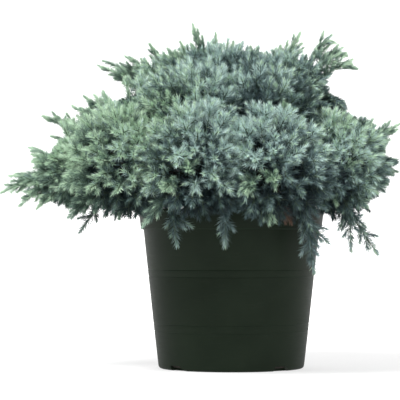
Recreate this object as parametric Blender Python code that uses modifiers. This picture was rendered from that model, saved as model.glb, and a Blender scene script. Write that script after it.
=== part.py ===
"""A blue star juniper in a round nursery pot, in metres, +Z up.

The origin is on the flat underside of the pot, at its centre. The front of the plant faces -Y.
Each piece is its own closed solid: the pot, the potting mix, the trunk, the boughs and the masses of foliage.
"""

import math
import random
from collections import namedtuple

import bmesh
import bpy
from mathutils import Vector
from mathutils.geometry import intersect_point_line

# The pot
POT_HEIGHT = 0.182
BASE_RADIUS = 0.0838
WALL_SLOPE = 0.1067
WALL = 0.0022
FLOOR = 0.0030
RIM_BAND_HEIGHT = 0.0228
RIM_BAND_PROUD = 0.0032
BASE_ROUNDING = 0.0040
GROOVE_HEIGHTS = (0.1137, 0.1056, 0.0518, 0.0427)
GROOVE_WIDTH = 0.0018
GROOVE_DEPTH = 0.0008
POT_SIDES = 32

# The slots cut in the foot of the pot, each with one upright and one sloping side
SLOT_COUNT = 4
SLOT_FIRST_TURN = math.radians(-50)
SLOT_WIDTH = 0.0155
SLOT_SLOPE_RUN = 0.0100
SLOT_HEIGHT = 0.0055

# The gap that touching pieces keep
CLEAR = 0.0003

# The potting mix and the trunk that stands on it
SOIL_TOP = 0.168
TRUNK_TOP = 0.238
TRUNK_FLARE_RADIUS = 0.0125
TRUNK_FOOT_RADIUS = 0.0088
TRUNK_TOP_RADIUS = 0.0060
TRUNK_LEAN = Vector((-0.006, -0.003, 0))
TRUNK_STEPS = 5

# The boughs
BOUGH_ROOT_RADIUS = 0.0036
BOUGH_TIP_RADIUS = 0.0021
BOUGH_STEPS = 4
COLLAR_LENGTH = 0.0065
COLLAR_RADIUS = 0.0046

# The heart of the crown, which its branches point away from
HEART = Vector((-0.015, 0.0, 0.215))

# The masses of foliage: the core's reach towards the outside and towards the trunk, as shares of
# the mass's size, and how much further it swells towards its neighbours, so that no gap is left
CORE_SHARE = 0.70
CORE_INNER_SHARE = 0.42
SWELL_SHARE = 0.42
SWELL_FROM = 0.25
SWELL_FULL = 0.75
CORE_UNEVEN = (0.95, 1.05)
CORE_FACE_COSINE = math.cos(math.radians(40))

# The tufts that the core's faces are drawn out into
TUFT_REACH = (0.88, 1.06)
TUFT_FLARE = 0.0080
TUFT_SHORT = 0.0140
TUFT_LEAST = 0.0060
TUFT_SIDE = -0.15
SPACE_MARGIN = 0.0008
LIMB_MARGIN = 0.0012

# The sprays: the reach of the needles, the radius of the core they stand on and their spacing
NEEDLE_SPREAD = 0.0085
SPRAY_CORE = 0.0030
WHORL_STEP = 0.0120
SECTION_CORNERS = 4
HANGING_SIDES = 3

# A mass: its name, its centre, its radius, the tips of its longest shoots, how far its shoots bend
# up (or down, when negative), and what carries it: a level of the trunk, its top, or another mass's
# bough. The last kind hangs, as one shoot from its centre.
Mass = namedtuple("Mass", "name at size tips bend carrier")

LOW, MIDDLE, HIGH, TOP = 0.1880, 0.2000, 0.2130, 0.2250

MASSES = [
    Mass("far_left", (-0.176, -0.034, 0.225), 0.047, [
        (-0.259, -0.045, 0.201), (-0.237, -0.062, 0.186), (-0.252, -0.020, 0.220),
        (-0.231, -0.005, 0.253), (-0.217, -0.070, 0.183),
    ], -0.010, LOW),
    Mass("left_front", (-0.118, -0.108, 0.222), 0.066, [
        (-0.177, -0.150, 0.172), (-0.123, -0.135, 0.171), (-0.144, -0.180, 0.232),
        (-0.183, -0.165, 0.206),
    ], -0.010, MIDDLE),
    Mass("front_left", (-0.040, -0.146, 0.220), 0.068, [
        (-0.048, -0.218, 0.220), (-0.097, -0.160, 0.162), (-0.074, -0.210, 0.199),
    ], -0.020, LOW),
    Mass("front_right", (0.038, -0.144, 0.218), 0.068, [
        (0.041, -0.212, 0.210), (0.061, -0.158, 0.166), (0.038, -0.164, 0.165), (0.012, -0.206, 0.197),
    ], -0.020, MIDDLE),
    Mass("right_front", (0.108, -0.088, 0.219), 0.064, [
        (0.128, -0.144, 0.222), (0.147, -0.104, 0.185), (0.158, -0.096, 0.200), (0.112, -0.128, 0.186),
    ], -0.020, LOW),
    Mass("far_right", (0.134, -0.006, 0.238), 0.051, [
        (0.191, -0.010, 0.279), (0.163, 0.010, 0.285), (0.181, 0.005, 0.262), (0.187, -0.010, 0.239),
        (0.187, -0.024, 0.225), (0.174, -0.030, 0.211),
    ], 0.010, MIDDLE),
    Mass("right_back", (0.102, 0.086, 0.236), 0.072, [
        (0.164, 0.130, 0.256),
    ], 0.020, LOW),
    Mass("back", (0.008, 0.142, 0.236), 0.074, [
        (0.021, 0.218, 0.254),
    ], 0.020, MIDDLE),
    Mass("left_back", (-0.084, 0.118, 0.240), 0.072, [
        (-0.126, 0.194, 0.259),
    ], 0.020, LOW),
    Mass("rear_left", (-0.150, 0.046, 0.242), 0.052, [
        (-0.219, 0.044, 0.292), (-0.210, 0.060, 0.269), (-0.190, 0.020, 0.271),
    ], 0.010, MIDDLE),
    Mass("upper_left", (-0.110, -0.022, 0.270), 0.052, [
        (-0.179, -0.030, 0.298), (-0.167, -0.020, 0.310), (-0.142, -0.040, 0.306),
        (-0.118, -0.030, 0.317),
    ], 0.010, HIGH),
    Mass("upper_front", (-0.040, -0.080, 0.279), 0.062, [
        (-0.071, -0.138, 0.307),
    ], 0.020, TOP),
    Mass("upper_right_front", (0.034, -0.074, 0.277), 0.062, [
        (0.058, -0.136, 0.293),
    ], 0.000, HIGH),
    Mass("upper_right", (0.068, 0.000, 0.299), 0.051, [
        (0.116, 0.008, 0.376), (0.132, 0.000, 0.359), (0.143, -0.008, 0.344),
    ], -0.055, TOP),
    Mass("upper_back", (0.040, 0.066, 0.304), 0.064, [
        (0.082, 0.064, 0.391), (0.059, 0.060, 0.375), (0.024, 0.050, 0.372),
    ], 0.020, HIGH),
    Mass("top_left", (-0.064, 0.048, 0.306), 0.056, [
        (-0.154, 0.044, 0.351), (-0.149, 0.060, 0.358), (-0.122, 0.050, 0.362), (-0.094, 0.040, 0.375),
    ], -0.010, TOP),
    Mass("top", (-0.016, 0.000, 0.317), 0.058, [
        (-0.044, 0.000, 0.394), (-0.058, -0.016, 0.372), (-0.018, 0.008, 0.384), (0.002, 0.006, 0.374),
        (-0.072, -0.010, 0.365),
    ], 0.010, None),
    Mass("hanging_left", (-0.147, -0.084, 0.185), 0.034, [
        (-0.168, -0.090, 0.157),
    ], 0.000, "far_left"),
    Mass("hanging_front_left", (-0.064, -0.132, 0.180), 0.030, [
        (-0.061, -0.136, 0.142), (-0.046, -0.134, 0.162),
    ], 0.000, "front_left"),
    Mass("hanging_front", (-0.008, -0.132, 0.182), 0.030, [
        (-0.009, -0.136, 0.141),
    ], 0.000, "front_right"),
    Mass("hanging_front_right", (0.078, -0.096, 0.178), 0.030, [
        (0.090, -0.094, 0.112), (0.105, -0.090, 0.145),
    ], 0.000, "right_front"),
    Mass("hanging_right", (0.123, -0.062, 0.188), 0.034, [
        (0.163, -0.056, 0.132), (0.133, -0.062, 0.136), (0.150, -0.044, 0.162), (0.120, -0.058, 0.160),
    ], 0.000, "right_front"),
]


def wall_radius(height):
    """The pot's outer radius at a height."""
    return BASE_RADIUS + WALL_SLOPE * height


RIM_RADIUS = wall_radius(POT_HEIGHT) + RIM_BAND_PROUD


def clear_scene():
    for obj in list(bpy.data.objects):
        bpy.data.objects.remove(obj)


def collection_named(name):
    made = bpy.data.collections.new(name)
    bpy.context.scene.collection.children.link(made)
    return made


def material(name, colour, roughness):
    made = bpy.data.materials.new(name)
    made.use_nodes = True
    shader = made.node_tree.nodes["Principled BSDF"]
    shader.inputs["Base Color"].default_value = (*colour, 1)
    shader.inputs["Roughness"].default_value = roughness
    shader.inputs["Metallic"].default_value = 0
    made.diffuse_color = (*colour, 1)
    return made


def object_from(name, data, home, look):
    made = bpy.data.objects.new(name, data)
    home.objects.link(made)
    if look is not None:
        data.materials.append(look)
    return made


def mesh_from_faces(name, points, faces):
    mesh = bpy.data.meshes.new(name)
    mesh.from_pydata([tuple(p) for p in points], [], faces)
    mesh.update()
    return mesh


def turned(name, profile, home, look):
    """A solid of revolution: a profile of (radius, height) points turned round the Z axis."""
    mesh = bpy.data.meshes.new(name)
    points = [(radius, 0, height) for radius, height in profile]
    mesh.from_pydata(points, [(i, i + 1) for i in range(len(points) - 1)], [])
    made = object_from(name, mesh, home, look)
    screw = made.modifiers.new("Turn", "SCREW")
    screw.steps = POT_SIDES
    screw.render_steps = POT_SIDES
    screw.use_merge_vertices = True
    screw.merge_threshold = 0.00001
    return made


def apply_modifiers(obj):
    """Puts the mesh that the modifiers make in place of the object's own."""
    graph = bpy.context.evaluated_depsgraph_get()
    mesh = bpy.data.meshes.new_from_object(obj.evaluated_get(graph))
    obj.modifiers.clear()
    obj.data = mesh


def groove_points(height):
    """A shallow V cut round the outside of the wall, from its upper edge to its lower edge."""
    half = GROOVE_WIDTH / 2
    return [
        (wall_radius(height + half), height + half),
        (wall_radius(height) - GROOVE_DEPTH, height),
        (wall_radius(height - half), height - half),
    ]


def pot_profile():
    """From the middle of the inner floor, up the inside, over the rim and down the outside."""
    band_foot = POT_HEIGHT - RIM_BAND_HEIGHT
    lip = 0.0012
    inner_top = RIM_RADIUS - RIM_BAND_PROUD - WALL
    profile = [
        (0, FLOOR),
        (wall_radius(FLOOR) - WALL, FLOOR),
        (inner_top, POT_HEIGHT - lip),
        (inner_top + lip, POT_HEIGHT),
        (RIM_RADIUS - lip, POT_HEIGHT),
        (RIM_RADIUS, POT_HEIGHT - lip),
        (wall_radius(band_foot) + RIM_BAND_PROUD, band_foot + lip),
        (wall_radius(band_foot), band_foot),
    ]
    for height in GROOVE_HEIGHTS:
        profile += groove_points(height)
    for step in range(3):
        turn = step * math.pi / 4
        radius = wall_radius(0) - BASE_ROUNDING * (1 - math.cos(turn))
        profile.append((radius, BASE_ROUNDING * (1 - math.sin(turn))))
    profile.append((0, 0))
    return profile


def slot_cutter(turn, home):
    """A block through the foot of the wall whose one side is upright and whose other side slopes."""
    bpy.ops.mesh.primitive_cube_add(size=1)
    cutter = bpy.context.active_object
    cutter.name = "slot_cutter"
    reach = 0.012
    low, high = -0.002, SLOT_HEIGHT
    for vertex in cutter.data.vertices:
        along, across, up = vertex.co
        side = SLOT_WIDTH * across
        if across > 0 and up < 0:
            side += SLOT_SLOPE_RUN
        vertex.co = (
            BASE_RADIUS + reach * (along - 0.2),
            side,
            low if up < 0 else high,
        )
    cutter.rotation_euler.z = turn - math.pi / 2
    for owner in list(cutter.users_collection):
        owner.objects.unlink(cutter)
    home.objects.link(cutter)
    cutter.hide_render = True
    cutter.display_type = "WIRE"
    return cutter


def build_pot(home, cutters, look):
    pot = turned("pot", pot_profile(), home, look)
    for slot in range(SLOT_COUNT):
        turn = SLOT_FIRST_TURN + slot * 2 * math.pi / SLOT_COUNT
        cut = pot.modifiers.new(f"Slot {slot}", "BOOLEAN")
        cut.operation = "DIFFERENCE"
        cut.object = slot_cutter(turn, cutters)
    return pot


def build_soil(home, look):
    """The potting mix fills the pot, with a crown round the trunk and a hollow ring by the wall."""
    floor = FLOOR + CLEAR
    side = WALL + CLEAR * 1.2
    foot_flat = TRUNK_FLARE_RADIUS * 1.5
    profile = [
        (0, SOIL_TOP),
        (foot_flat, SOIL_TOP),
        (0.060, SOIL_TOP - 0.002),
        (wall_radius(SOIL_TOP) - side - 0.004, SOIL_TOP - 0.005),
        (wall_radius(SOIL_TOP - 0.008) - side, SOIL_TOP - 0.008),
        (wall_radius(floor) - side - 0.002, floor),
        (0, floor),
    ]
    return turned("potting_mix", profile, home, look)


def tube(name, points, radii, sides_level, home, look):
    """A tapering limb: a curve with filled caps and a radius at each point."""
    curve = bpy.data.curves.new(name, "CURVE")
    curve.dimensions = "3D"
    curve.bevel_depth = 1.0
    curve.bevel_resolution = sides_level
    curve.use_fill_caps = True
    spline = curve.splines.new("POLY")
    spline.points.add(len(points) - 1)
    for point, place, radius in zip(spline.points, points, radii):
        point.co = (*place, 1)
        point.radius = radius
    return object_from(name, curve, home, look)


def tube_mesh(name, points, radii, sides_level, home):
    """The same limb as a closed mesh that a Boolean can join."""
    curve = tube(name + "_curve", points, radii, sides_level, home, None)
    graph = bpy.context.evaluated_depsgraph_get()
    mesh = bpy.data.meshes.new_from_object(curve.evaluated_get(graph))
    bpy.data.objects.remove(curve)
    shape = bmesh.new()
    shape.from_mesh(mesh)
    bmesh.ops.remove_doubles(shape, verts=shape.verts, dist=0.00001)
    shape.to_mesh(mesh)
    shape.free()
    return object_from(name, mesh, home, None)


def trunk_line(height):
    """The middle of the trunk at a height. It stands upright at its foot and leans a little above."""
    share = (height - SOIL_TOP) / (TRUNK_TOP - SOIL_TOP)
    return Vector((0, 0, height)) + TRUNK_LEAN * share * share


def trunk_radius(height):
    share = (height - SOIL_TOP) / (TRUNK_TOP - SOIL_TOP)
    flare = (TRUNK_FLARE_RADIUS - TRUNK_FOOT_RADIUS) * max(0, 1 - 4 * share) ** 2
    return TRUNK_FOOT_RADIUS + (TRUNK_TOP_RADIUS - TRUNK_FOOT_RADIUS) * share + flare


def out_of_trunk(mass):
    """The level direction in which a mass lies from the trunk."""
    flat = Vector((mass.at[0], mass.at[1], 0))
    return flat.normalized()


def on_trunk(mass):
    return mass.carrier is None or isinstance(mass.carrier, float)


def hangs(mass):
    return not on_trunk(mass)


def collar_start(mass):
    return trunk_line(mass.carrier)


def collar_direction(mass):
    """Collars rise more steeply the higher they stand on the trunk."""
    rise = 0.35 + 14 * (mass.carrier - LOW)
    return (out_of_trunk(mass) + Vector((0, 0, rise))).normalized()


def collar_end(mass):
    if mass.carrier is None:
        return trunk_line(TRUNK_TOP)
    reach = trunk_radius(mass.carrier) + COLLAR_LENGTH
    return collar_start(mass) + collar_direction(mass) * reach


def curve_through(start, start_way, end, end_way, steps):
    """Points on a smooth curve that leaves start along start_way and arrives at end along end_way."""
    span = (end - start).length
    near = start + start_way * span * 0.38
    far = end - end_way * span * 0.38
    points = []
    for step in range(steps + 1):
        t = step / steps
        s = 1 - t
        points.append(
            start * s**3 + near * (3 * s * s * t) + far * (3 * s * t * t) + end * t**3
        )
    return points


def mass_way_in(mass):
    """The direction in which the mass's stem enters it."""
    at = Vector(mass.at)
    if hangs(mass):
        way = (Vector(mass.tips[0]) - at).normalized()
        return (way + out_of_trunk(mass) * 0.4 - Vector((0, 0, 0.4))).normalized()
    return ((at - HEART).normalized() + Vector((0, 0, 0.25))).normalized()


def bough_tip(mass):
    """Where the bough ends and the mass's stem begins."""
    if hangs(mass):
        return Vector(mass.at)
    back = mass.size * CORE_INNER_SHARE + BOUGH_TIP_RADIUS + LIMB_MARGIN
    return Vector(mass.at) - mass_way_in(mass) * back


def bough_points(mass, lines):
    """The middle line of the bough that carries a mass, from its root to its tip. Both ends are straight."""
    way_in = mass_way_in(mass)
    end = bough_tip(mass)
    steps = BOUGH_STEPS
    if mass.carrier is None:
        start_way = Vector((TRUNK_LEAN.x, TRUNK_LEAN.y, 0.05)).normalized()
        start = trunk_line(TRUNK_TOP) + start_way * CLEAR
        steps = 2
    elif on_trunk(mass):
        start_way = collar_direction(mass)
        start = collar_end(mass) + start_way * CLEAR
    else:
        carrier = lines[mass.carrier]
        root = carrier[-3]
        root_radius = bough_radii(BOUGH_ROOT_RADIUS, BOUGH_TIP_RADIUS, len(carrier))[-3]
        along = (carrier[-2] - carrier[-4]).normalized()
        start_way = end - root
        start_way = (start_way - along * start_way.dot(along)).normalized()
        start = root + start_way * (root_radius + CLEAR * 0.5)
        steps = 3
    straight = start + start_way * BOUGH_ROOT_RADIUS
    straight_end = end - way_in * BOUGH_ROOT_RADIUS
    return [start] + curve_through(straight, start_way, straight_end, way_in, steps) + [end]


def bough_radii(root, tip, count):
    """An even taper from the root's radius to the tip's."""
    return [root + (tip - root) * i / (count - 1) for i in range(count)]


def build_trunk(home, scraps, look):
    """The short trunk, with a collar for each bough that leaves it, joined into one solid."""
    foot = SOIL_TOP + CLEAR
    heights = [foot, foot + 0.002]
    heights += [foot + (TRUNK_TOP - foot) * (i / TRUNK_STEPS) for i in range(1, TRUNK_STEPS + 1)]
    points = [trunk_line(height) for height in heights]
    points[1] = Vector((0, 0, heights[1]))
    points[0] = Vector((0, 0, foot))
    radii = [trunk_radius(height) for height in heights]
    trunk = tube_mesh("trunk", points, radii, 2, home)
    trunk.data.materials.append(look)
    for mass in MASSES:
        if not isinstance(mass.carrier, float):
            continue
        start, end = collar_start(mass), collar_end(mass)
        tube_mesh(
            f"collar_{mass.name}",
            [start, end],
            [COLLAR_RADIUS, BOUGH_ROOT_RADIUS],
            1,
            scraps,
        )
    join_with_collection(trunk, scraps)
    return trunk


def join_with_collection(base, scraps):
    """One Boolean union of the base and all that the collection holds, which is then emptied."""
    union = base.modifiers.new("Join", "BOOLEAN")
    union.operation = "UNION"
    union.operand_type = "COLLECTION"
    union.collection = scraps
    union.solver = "EXACT"
    apply_modifiers(base)
    drop_scraps(base.data)
    for obj in list(scraps.objects):
        bpy.data.objects.remove(obj)


def drop_scraps(mesh):
    """Keeps the largest closed body of a mesh and removes loose scraps."""
    shape = bmesh.new()
    shape.from_mesh(mesh)
    left = set(shape.verts)
    bodies = []
    while left:
        body = {left.pop()}
        edge_of_body = list(body)
        while edge_of_body:
            vertex = edge_of_body.pop()
            near = {edge.other_vert(vertex) for edge in vertex.link_edges} & left
            left -= near
            body |= near
            edge_of_body += near
        bodies.append(body)
    largest = max(bodies, key=len)
    scraps = [vertex for vertex in shape.verts if vertex not in largest]
    bmesh.ops.delete(shape, geom=scraps, context="VERTS")
    shape.to_mesh(mesh)
    shape.free()


def crown_side(mass):
    """The way out of the crown at a mass."""
    outward = (Vector(mass.at) - HEART).normalized()
    lead = (Vector(mass.tips[0]) - Vector(mass.at)).normalized()
    return (outward * 2 + lead).normalized()


def square_to(way):
    """Two directions that are square to a way and to each other."""
    helper = Vector((0, 0, 1)) if abs(way.z) < 0.9 else Vector((1, 0, 0))
    across = way.cross(helper).normalized()
    return across, way.cross(across).normalized()


def in_own_space(mass, point, room):
    """Whether a ball of radius room at the point keeps to the mass's space, clear of pot and neighbours."""
    for other in MASSES:
        if other.name == mass.name:
            continue
        apart = Vector(other.at) - Vector(mass.at)
        share = mass.size / (mass.size + other.size)
        depth = (point - Vector(mass.at)).dot(apart.normalized())
        if depth > apart.length * share - room - SPACE_MARGIN:
            return False
    out = math.hypot(point.x, point.y)
    return point.z - room > POT_HEIGHT + LIMB_MARGIN or out - room > RIM_RADIUS + LIMB_MARGIN


def clear_of_limbs(point, room, lines):
    """Whether a ball of radius room at the point is clear of every bough."""
    least = room + BOUGH_ROOT_RADIUS + LIMB_MARGIN
    for line in lines.values():
        for a, b in zip(line[:-1], line[1:]):
            nearest, share = intersect_point_line(point, a, b)
            nearest = a if share < 0 else b if share > 1 else nearest
            if (point - nearest).length < least:
                return False
    return True


def fits(mass, points, line, room, lines):
    """Whether a spray keeps to its mass's space and, where it is out of the core, clear of limbs."""
    core = mass.size * CORE_SHARE
    return all(in_own_space(mass, point, 0) for point in points) and all(
        (point - Vector(mass.at)).length < core or clear_of_limbs(point, room, lines)
        for point in line
    )


def side_line(line, share, turn, length, steps):
    """A side shoot that leaves a branch part way along, leaning forward."""
    last = len(line) - 1
    place = share * last
    low = min(int(place), last - 1)
    root = line[low].lerp(line[low + 1], place - low)
    way = (line[low + 1] - line[low]).normalized()
    across, up = square_to(way)
    side = across * math.cos(turn) + up * math.sin(turn)
    shoot = (way * 0.80 + side * 0.60).normalized()
    return [root + shoot * (length * i / steps) for i in range(steps + 1)]


def spray_sections(line, start, room):
    """Centres, ways and radii of the needle whorls along a line, from the share start to its tip."""
    last = len(line) - 1
    length = (line[-1] - line[0]).length
    count = max(2, round(length * (1 - start) / WHORL_STEP) - 1)
    sections = []
    for i in range(count + 1):
        share = start + (1 - start) * i / (count + 0.8)
        place = share * last
        low = min(int(place), last - 1)
        centre = line[low].lerp(line[low + 1], place - low)
        way = (line[low + 1] - line[low]).normalized()
        taper = 1 - 0.45 * (i / count) ** 2
        sections.append((centre, way, 0 if i == 0 else room * taper))
    return sections, (1 - start) * length / (count + 0.8)


def spray_shape(line, start, room):
    """A spray: a slim core along the line with whorls of needles that point forward out of it."""
    sections, step = spray_sections(line, start, room)
    corners = SECTION_CORNERS
    points = []
    across, up = square_to(sections[0][1])
    for ring, (centre, way, radius) in enumerate(sections):
        across = (across - way * across.dot(way)).normalized()
        up = way.cross(across)
        for corner in range(corners):
            turn = corner * 2 * math.pi / corners
            side = across * math.cos(turn) + up * math.sin(turn)
            if radius and (corner + ring) % 2 == 0:
                points.append(centre + side * radius + way * step * 0.55)
            else:
                points.append(centre + side * SPRAY_CORE)
    points.append(line[-1])
    tip = len(points) - 1
    faces = [tuple(reversed(range(corners)))]
    for ring in range(len(sections) - 1):
        a, b = ring * corners, (ring + 1) * corners
        for corner in range(corners):
            after = (corner + 1) % corners
            if (corner + ring) % 2 == 0:
                faces += [(a + corner, a + after, b + corner), (a + after, b + after, b + corner)]
            else:
                faces += [(a + corner, a + after, b + after), (a + corner, b + after, b + corner)]
    last = (len(sections) - 1) * corners
    faces += [(last + corner, last + (corner + 1) % corners, tip) for corner in range(corners)]
    return points, faces


def add_spray(mass, line, start, room, lines, home):
    """Makes a spray along a line unless it would leave the mass's space. Says whether it was made."""
    points, faces = spray_shape(line, start, room)
    if not fits(mass, points[SECTION_CORNERS:], line, room * 0.6, lines):
        return False
    object_from("spray", mesh_from_faces("spray", points, faces), home, None)
    return True


def bent_point(mass, start, end, share):
    """The point a share of the way along a shoot, which bends as the mass's shoots do."""
    reach = end - start
    bend = Vector((0, 0, mass.bend)) * (reach.length / mass.size)
    return start + (reach - bend) * share + bend * share * share


def drawn_rings(mass, corners, tip, flare):
    """The rings that draw a face out into a spray: flares of three needles that point forward, with
    a waist before each but the first."""
    centre = (corners[0] + corners[1] + corners[2]) / 3
    core_reach = (centre - Vector(mass.at)).length
    reach = tip - centre
    flares = max(1, round(reach.length / WHORL_STEP - 0.6))
    width = sum((corner - centre).length for corner in corners) / 3
    rings = []
    for i in range(2 * flares - 1):
        flared = i % 2 == 0
        share = (i / 2 + (0.60 if flared else 0.30)) / (flares + 0.15)
        middle = bent_point(mass, centre, tip, share)
        taper = 1 - 0.40 * (i / (2 * flares)) ** 2
        wedge = width * 0.47 * (1 + reach.length * share / core_reach)
        radius = min(flare * taper, wedge) if flared else SPRAY_CORE
        ring = []
        for corner in range(3):
            side = corners[corner] - centre
            if flared:
                side = (corners[corner] + corners[(corner + 1) % 3]) / 2 - centre
            side -= reach * (side.dot(reach) / reach.length_squared)
            ring.append(middle + side.normalized() * radius)
        rings.append(ring)
    return rings


def draw_out(shape, face, rings, tip):
    """Draws a face of the mesh out through the rings to the tip."""
    last = list(face.verts)
    shape.faces.remove(face)
    for number, points in enumerate(rings):
        ring = [shape.verts.new(point) for point in points]
        after_flare = number % 2 == 1
        for i in range(3):
            after = (i + 1) % 3
            if after_flare:
                shape.faces.new((last[i], last[after], ring[after]))
                shape.faces.new((last[i], ring[after], ring[i]))
            else:
                shape.faces.new((last[i], last[after], ring[i]))
                shape.faces.new((last[after], ring[after], ring[i]))
        last = ring
    tip = shape.verts.new(tip)
    for i in range(3):
        shape.faces.new((last[i], last[(i + 1) % 3], tip))


def can_draw(mass, rings, tip, lines):
    """Whether the rings and the tip keep to the mass's space and clear of every limb."""
    points = [point for ring in rings for point in ring] + [tip]
    middles = [sum(ring, Vector()) / 3 for ring in rings]
    return all(in_own_space(mass, point, 0) for point in points) and all(
        clear_of_limbs(middle, TUFT_FLARE, lines) for middle in middles + [tip]
    )


def grow_sprays(mass, shape, lines, rng):
    """Draws the faces of the core that look at the mass's tips out into long sprays, and the others
    that look out of the crown into tufts, where there is space. Returns the long sprays' lines."""
    at = Vector(mass.at)
    faces = list(shape.faces)
    ways = {face: (face.calc_center_median() - at).normalized() for face in faces}
    corners = {face: [vertex.co.copy() for vertex in face.verts] for face in faces}
    leads = []
    for tip in mass.tips:
        reach = Vector(tip) - at
        face = max(faces, key=lambda each: ways[each].dot(reach.normalized()))
        centre = face.calc_center_median()
        for share in (1, 0.9, 0.8, 0.7):
            end = at + reach * share
            rings = drawn_rings(mass, corners[face], end, NEEDLE_SPREAD)
            if (end - centre).length > TUFT_LEAST and can_draw(mass, rings, end, lines):
                draw_out(shape, face, rings, end)
                faces.remove(face)
                leads.append([bent_point(mass, centre, end, i / 3) for i in range(4)])
                break
    for face in faces:
        if ways[face].dot(crown_side(mass)) < TUFT_SIDE:
            continue
        centre = face.calc_center_median()
        full = max(mass.size * rng.uniform(*TUFT_REACH) - (centre - at).length, TUFT_SHORT)
        way = (ways[face] + (centre - HEART).normalized() + Vector((0, 0, mass.bend * 4))).normalized()
        for share in (1, 0.8, 0.6, 0.45):
            end = centre + way * full * share
            rings = drawn_rings(mass, corners[face], end, TUFT_FLARE)
            if full * share > TUFT_LEAST and can_draw(mass, rings, end, lines):
                draw_out(shape, face, rings, end)
                break
    return leads


def room_for_core(mass, way, most, limb_points):
    """How far the core can reach along a way: short of its neighbours' spaces, the pot and every limb."""
    at = Vector(mass.at)
    for other in MASSES:
        if other.name == mass.name:
            continue
        apart = Vector(other.at) - at
        along = way.dot(apart.normalized())
        border = apart.length * mass.size / (mass.size + other.size) - 2 * SPACE_MARGIN
        if along > 0:
            most = min(most, border / along)
    for point in limb_points:
        apart = point - at
        if way.dot(apart.normalized()) > CORE_FACE_COSINE:
            most = min(most, apart.length - BOUGH_ROOT_RADIUS - LIMB_MARGIN)
    steps = 12
    for i in range(1, steps + 1):
        point = at + way * most * i / steps
        over = point.z - POT_HEIGHT - 2 * LIMB_MARGIN
        beside = math.hypot(point.x, point.y) - RIM_RADIUS - 2 * LIMB_MARGIN
        if over < 0 and over + beside < 0:
            return most * (i - 1) / steps
    return most


def swell(mass, way):
    """How squarely a way points at a neighbouring mass, from 0 for not at all to 1."""
    nearest = 0
    for other in MASSES:
        if other.name == mass.name or hangs(other):
            continue
        apart = Vector(other.at) - Vector(mass.at)
        if apart.length < mass.size + other.size:
            nearest = max(nearest, way.dot(apart.normalized()))
    return min(1, max(0, (nearest - SWELL_FROM) / (SWELL_FULL - SWELL_FROM)))


def core_of(mass, limb_points, rng, home, look):
    """The dense heart of a mass: an uneven ball that fills its space and that the sprays stand out of."""
    bpy.ops.mesh.primitive_ico_sphere_add(subdivisions=2, radius=1)
    core = bpy.context.active_object
    core.name = mass.name
    inward = -mass_way_in(mass)
    for vertex in core.data.vertices:
        way = vertex.co.normalized()
        inner = max(0, way.dot(inward))
        share = CORE_SHARE + (CORE_INNER_SHARE - CORE_SHARE) * inner
        share += SWELL_SHARE * swell(mass, way) * (1 - inner * inner)
        uneven = mass.size * share * rng.uniform(*CORE_UNEVEN)
        vertex.co = Vector(mass.at) + way * room_for_core(mass, way, uneven, limb_points)
    for owner in list(core.users_collection):
        owner.objects.unlink(core)
    home.objects.link(core)
    core.data.materials.append(look)
    return core


def points_on_limbs(lines):
    """Points close together along every bough."""
    points = []
    for line in lines.values():
        for a, b in zip(line[:-1], line[1:]):
            points += [a.lerp(b, i / 4) for i in range(5)]
    return points


def build_mass(mass, number, lines, home, scraps, look):
    """One mass of foliage: its core drawn out into sprays and tufts, and its stem, in one solid."""
    rng = random.Random(number)
    core = core_of(mass, points_on_limbs(lines), rng, home, look)
    shape = bmesh.new()
    shape.from_mesh(core.data)
    leads = grow_sprays(mass, shape, lines, rng)
    shape.to_mesh(core.data)
    shape.free()
    root = bough_tip(mass) + mass_way_in(mass) * CLEAR
    stem_end = root.lerp(Vector(mass.at), 0.6)
    tube_mesh("stem", [root, stem_end], [BOUGH_TIP_RADIUS, BOUGH_TIP_RADIUS * 0.8], 1, scraps)
    for line in leads[:2]:
        length = (line[-1] - line[0]).length * 0.55
        if length > 2 * TUFT_LEAST:
            side = side_line(line, 0.34, rng.uniform(0, 2 * math.pi), length, 3)
            add_spray(mass, side, 0, NEEDLE_SPREAD * 0.8, lines, scraps)
    join_with_collection(core, scraps)


def build_hanging(mass, number, lines, home, scraps, look):
    """One hanging shoot: a long spray from the bough's tip down, with side sprays along it."""
    rng = random.Random(number)
    at = Vector(mass.at)
    tip = Vector(mass.tips[0])
    way_in = mass_way_in(mass)
    start = at + way_in * CLEAR
    straight = start + way_in * SPRAY_CORE
    line = [start] + curve_through(straight, way_in, tip, (tip - at).normalized(), 5)
    points, faces = spray_shape(line, 0, NEEDLE_SPREAD * 0.8)
    base = object_from(mass.name, mesh_from_faces(mass.name, points, faces), home, look)
    for other_tip in mass.tips[1:]:
        reach = Vector(other_tip) - line[1]
        along = (line[2] - line[1]).normalized()
        side = curve_through(line[1], along, line[1] + reach, reach.normalized(), 4)
        add_spray(mass, side, 0, NEEDLE_SPREAD * 0.8, lines, scraps)
    first_turn = rng.uniform(0, 2 * math.pi)
    for i in range(HANGING_SIDES):
        share = 0.20 + 0.5 * i / HANGING_SIDES
        length = (tip - at).length * (0.50 - 0.22 * i / HANGING_SIDES)
        for attempt in range(6):
            turn = first_turn + i * math.pi * 0.9 + attempt * math.pi / 3
            side = side_line(line, share, turn, length, 3)
            if add_spray(mass, side, 0, NEEDLE_SPREAD * 0.7, lines, scraps):
                break
    join_with_collection(base, scraps)


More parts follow.
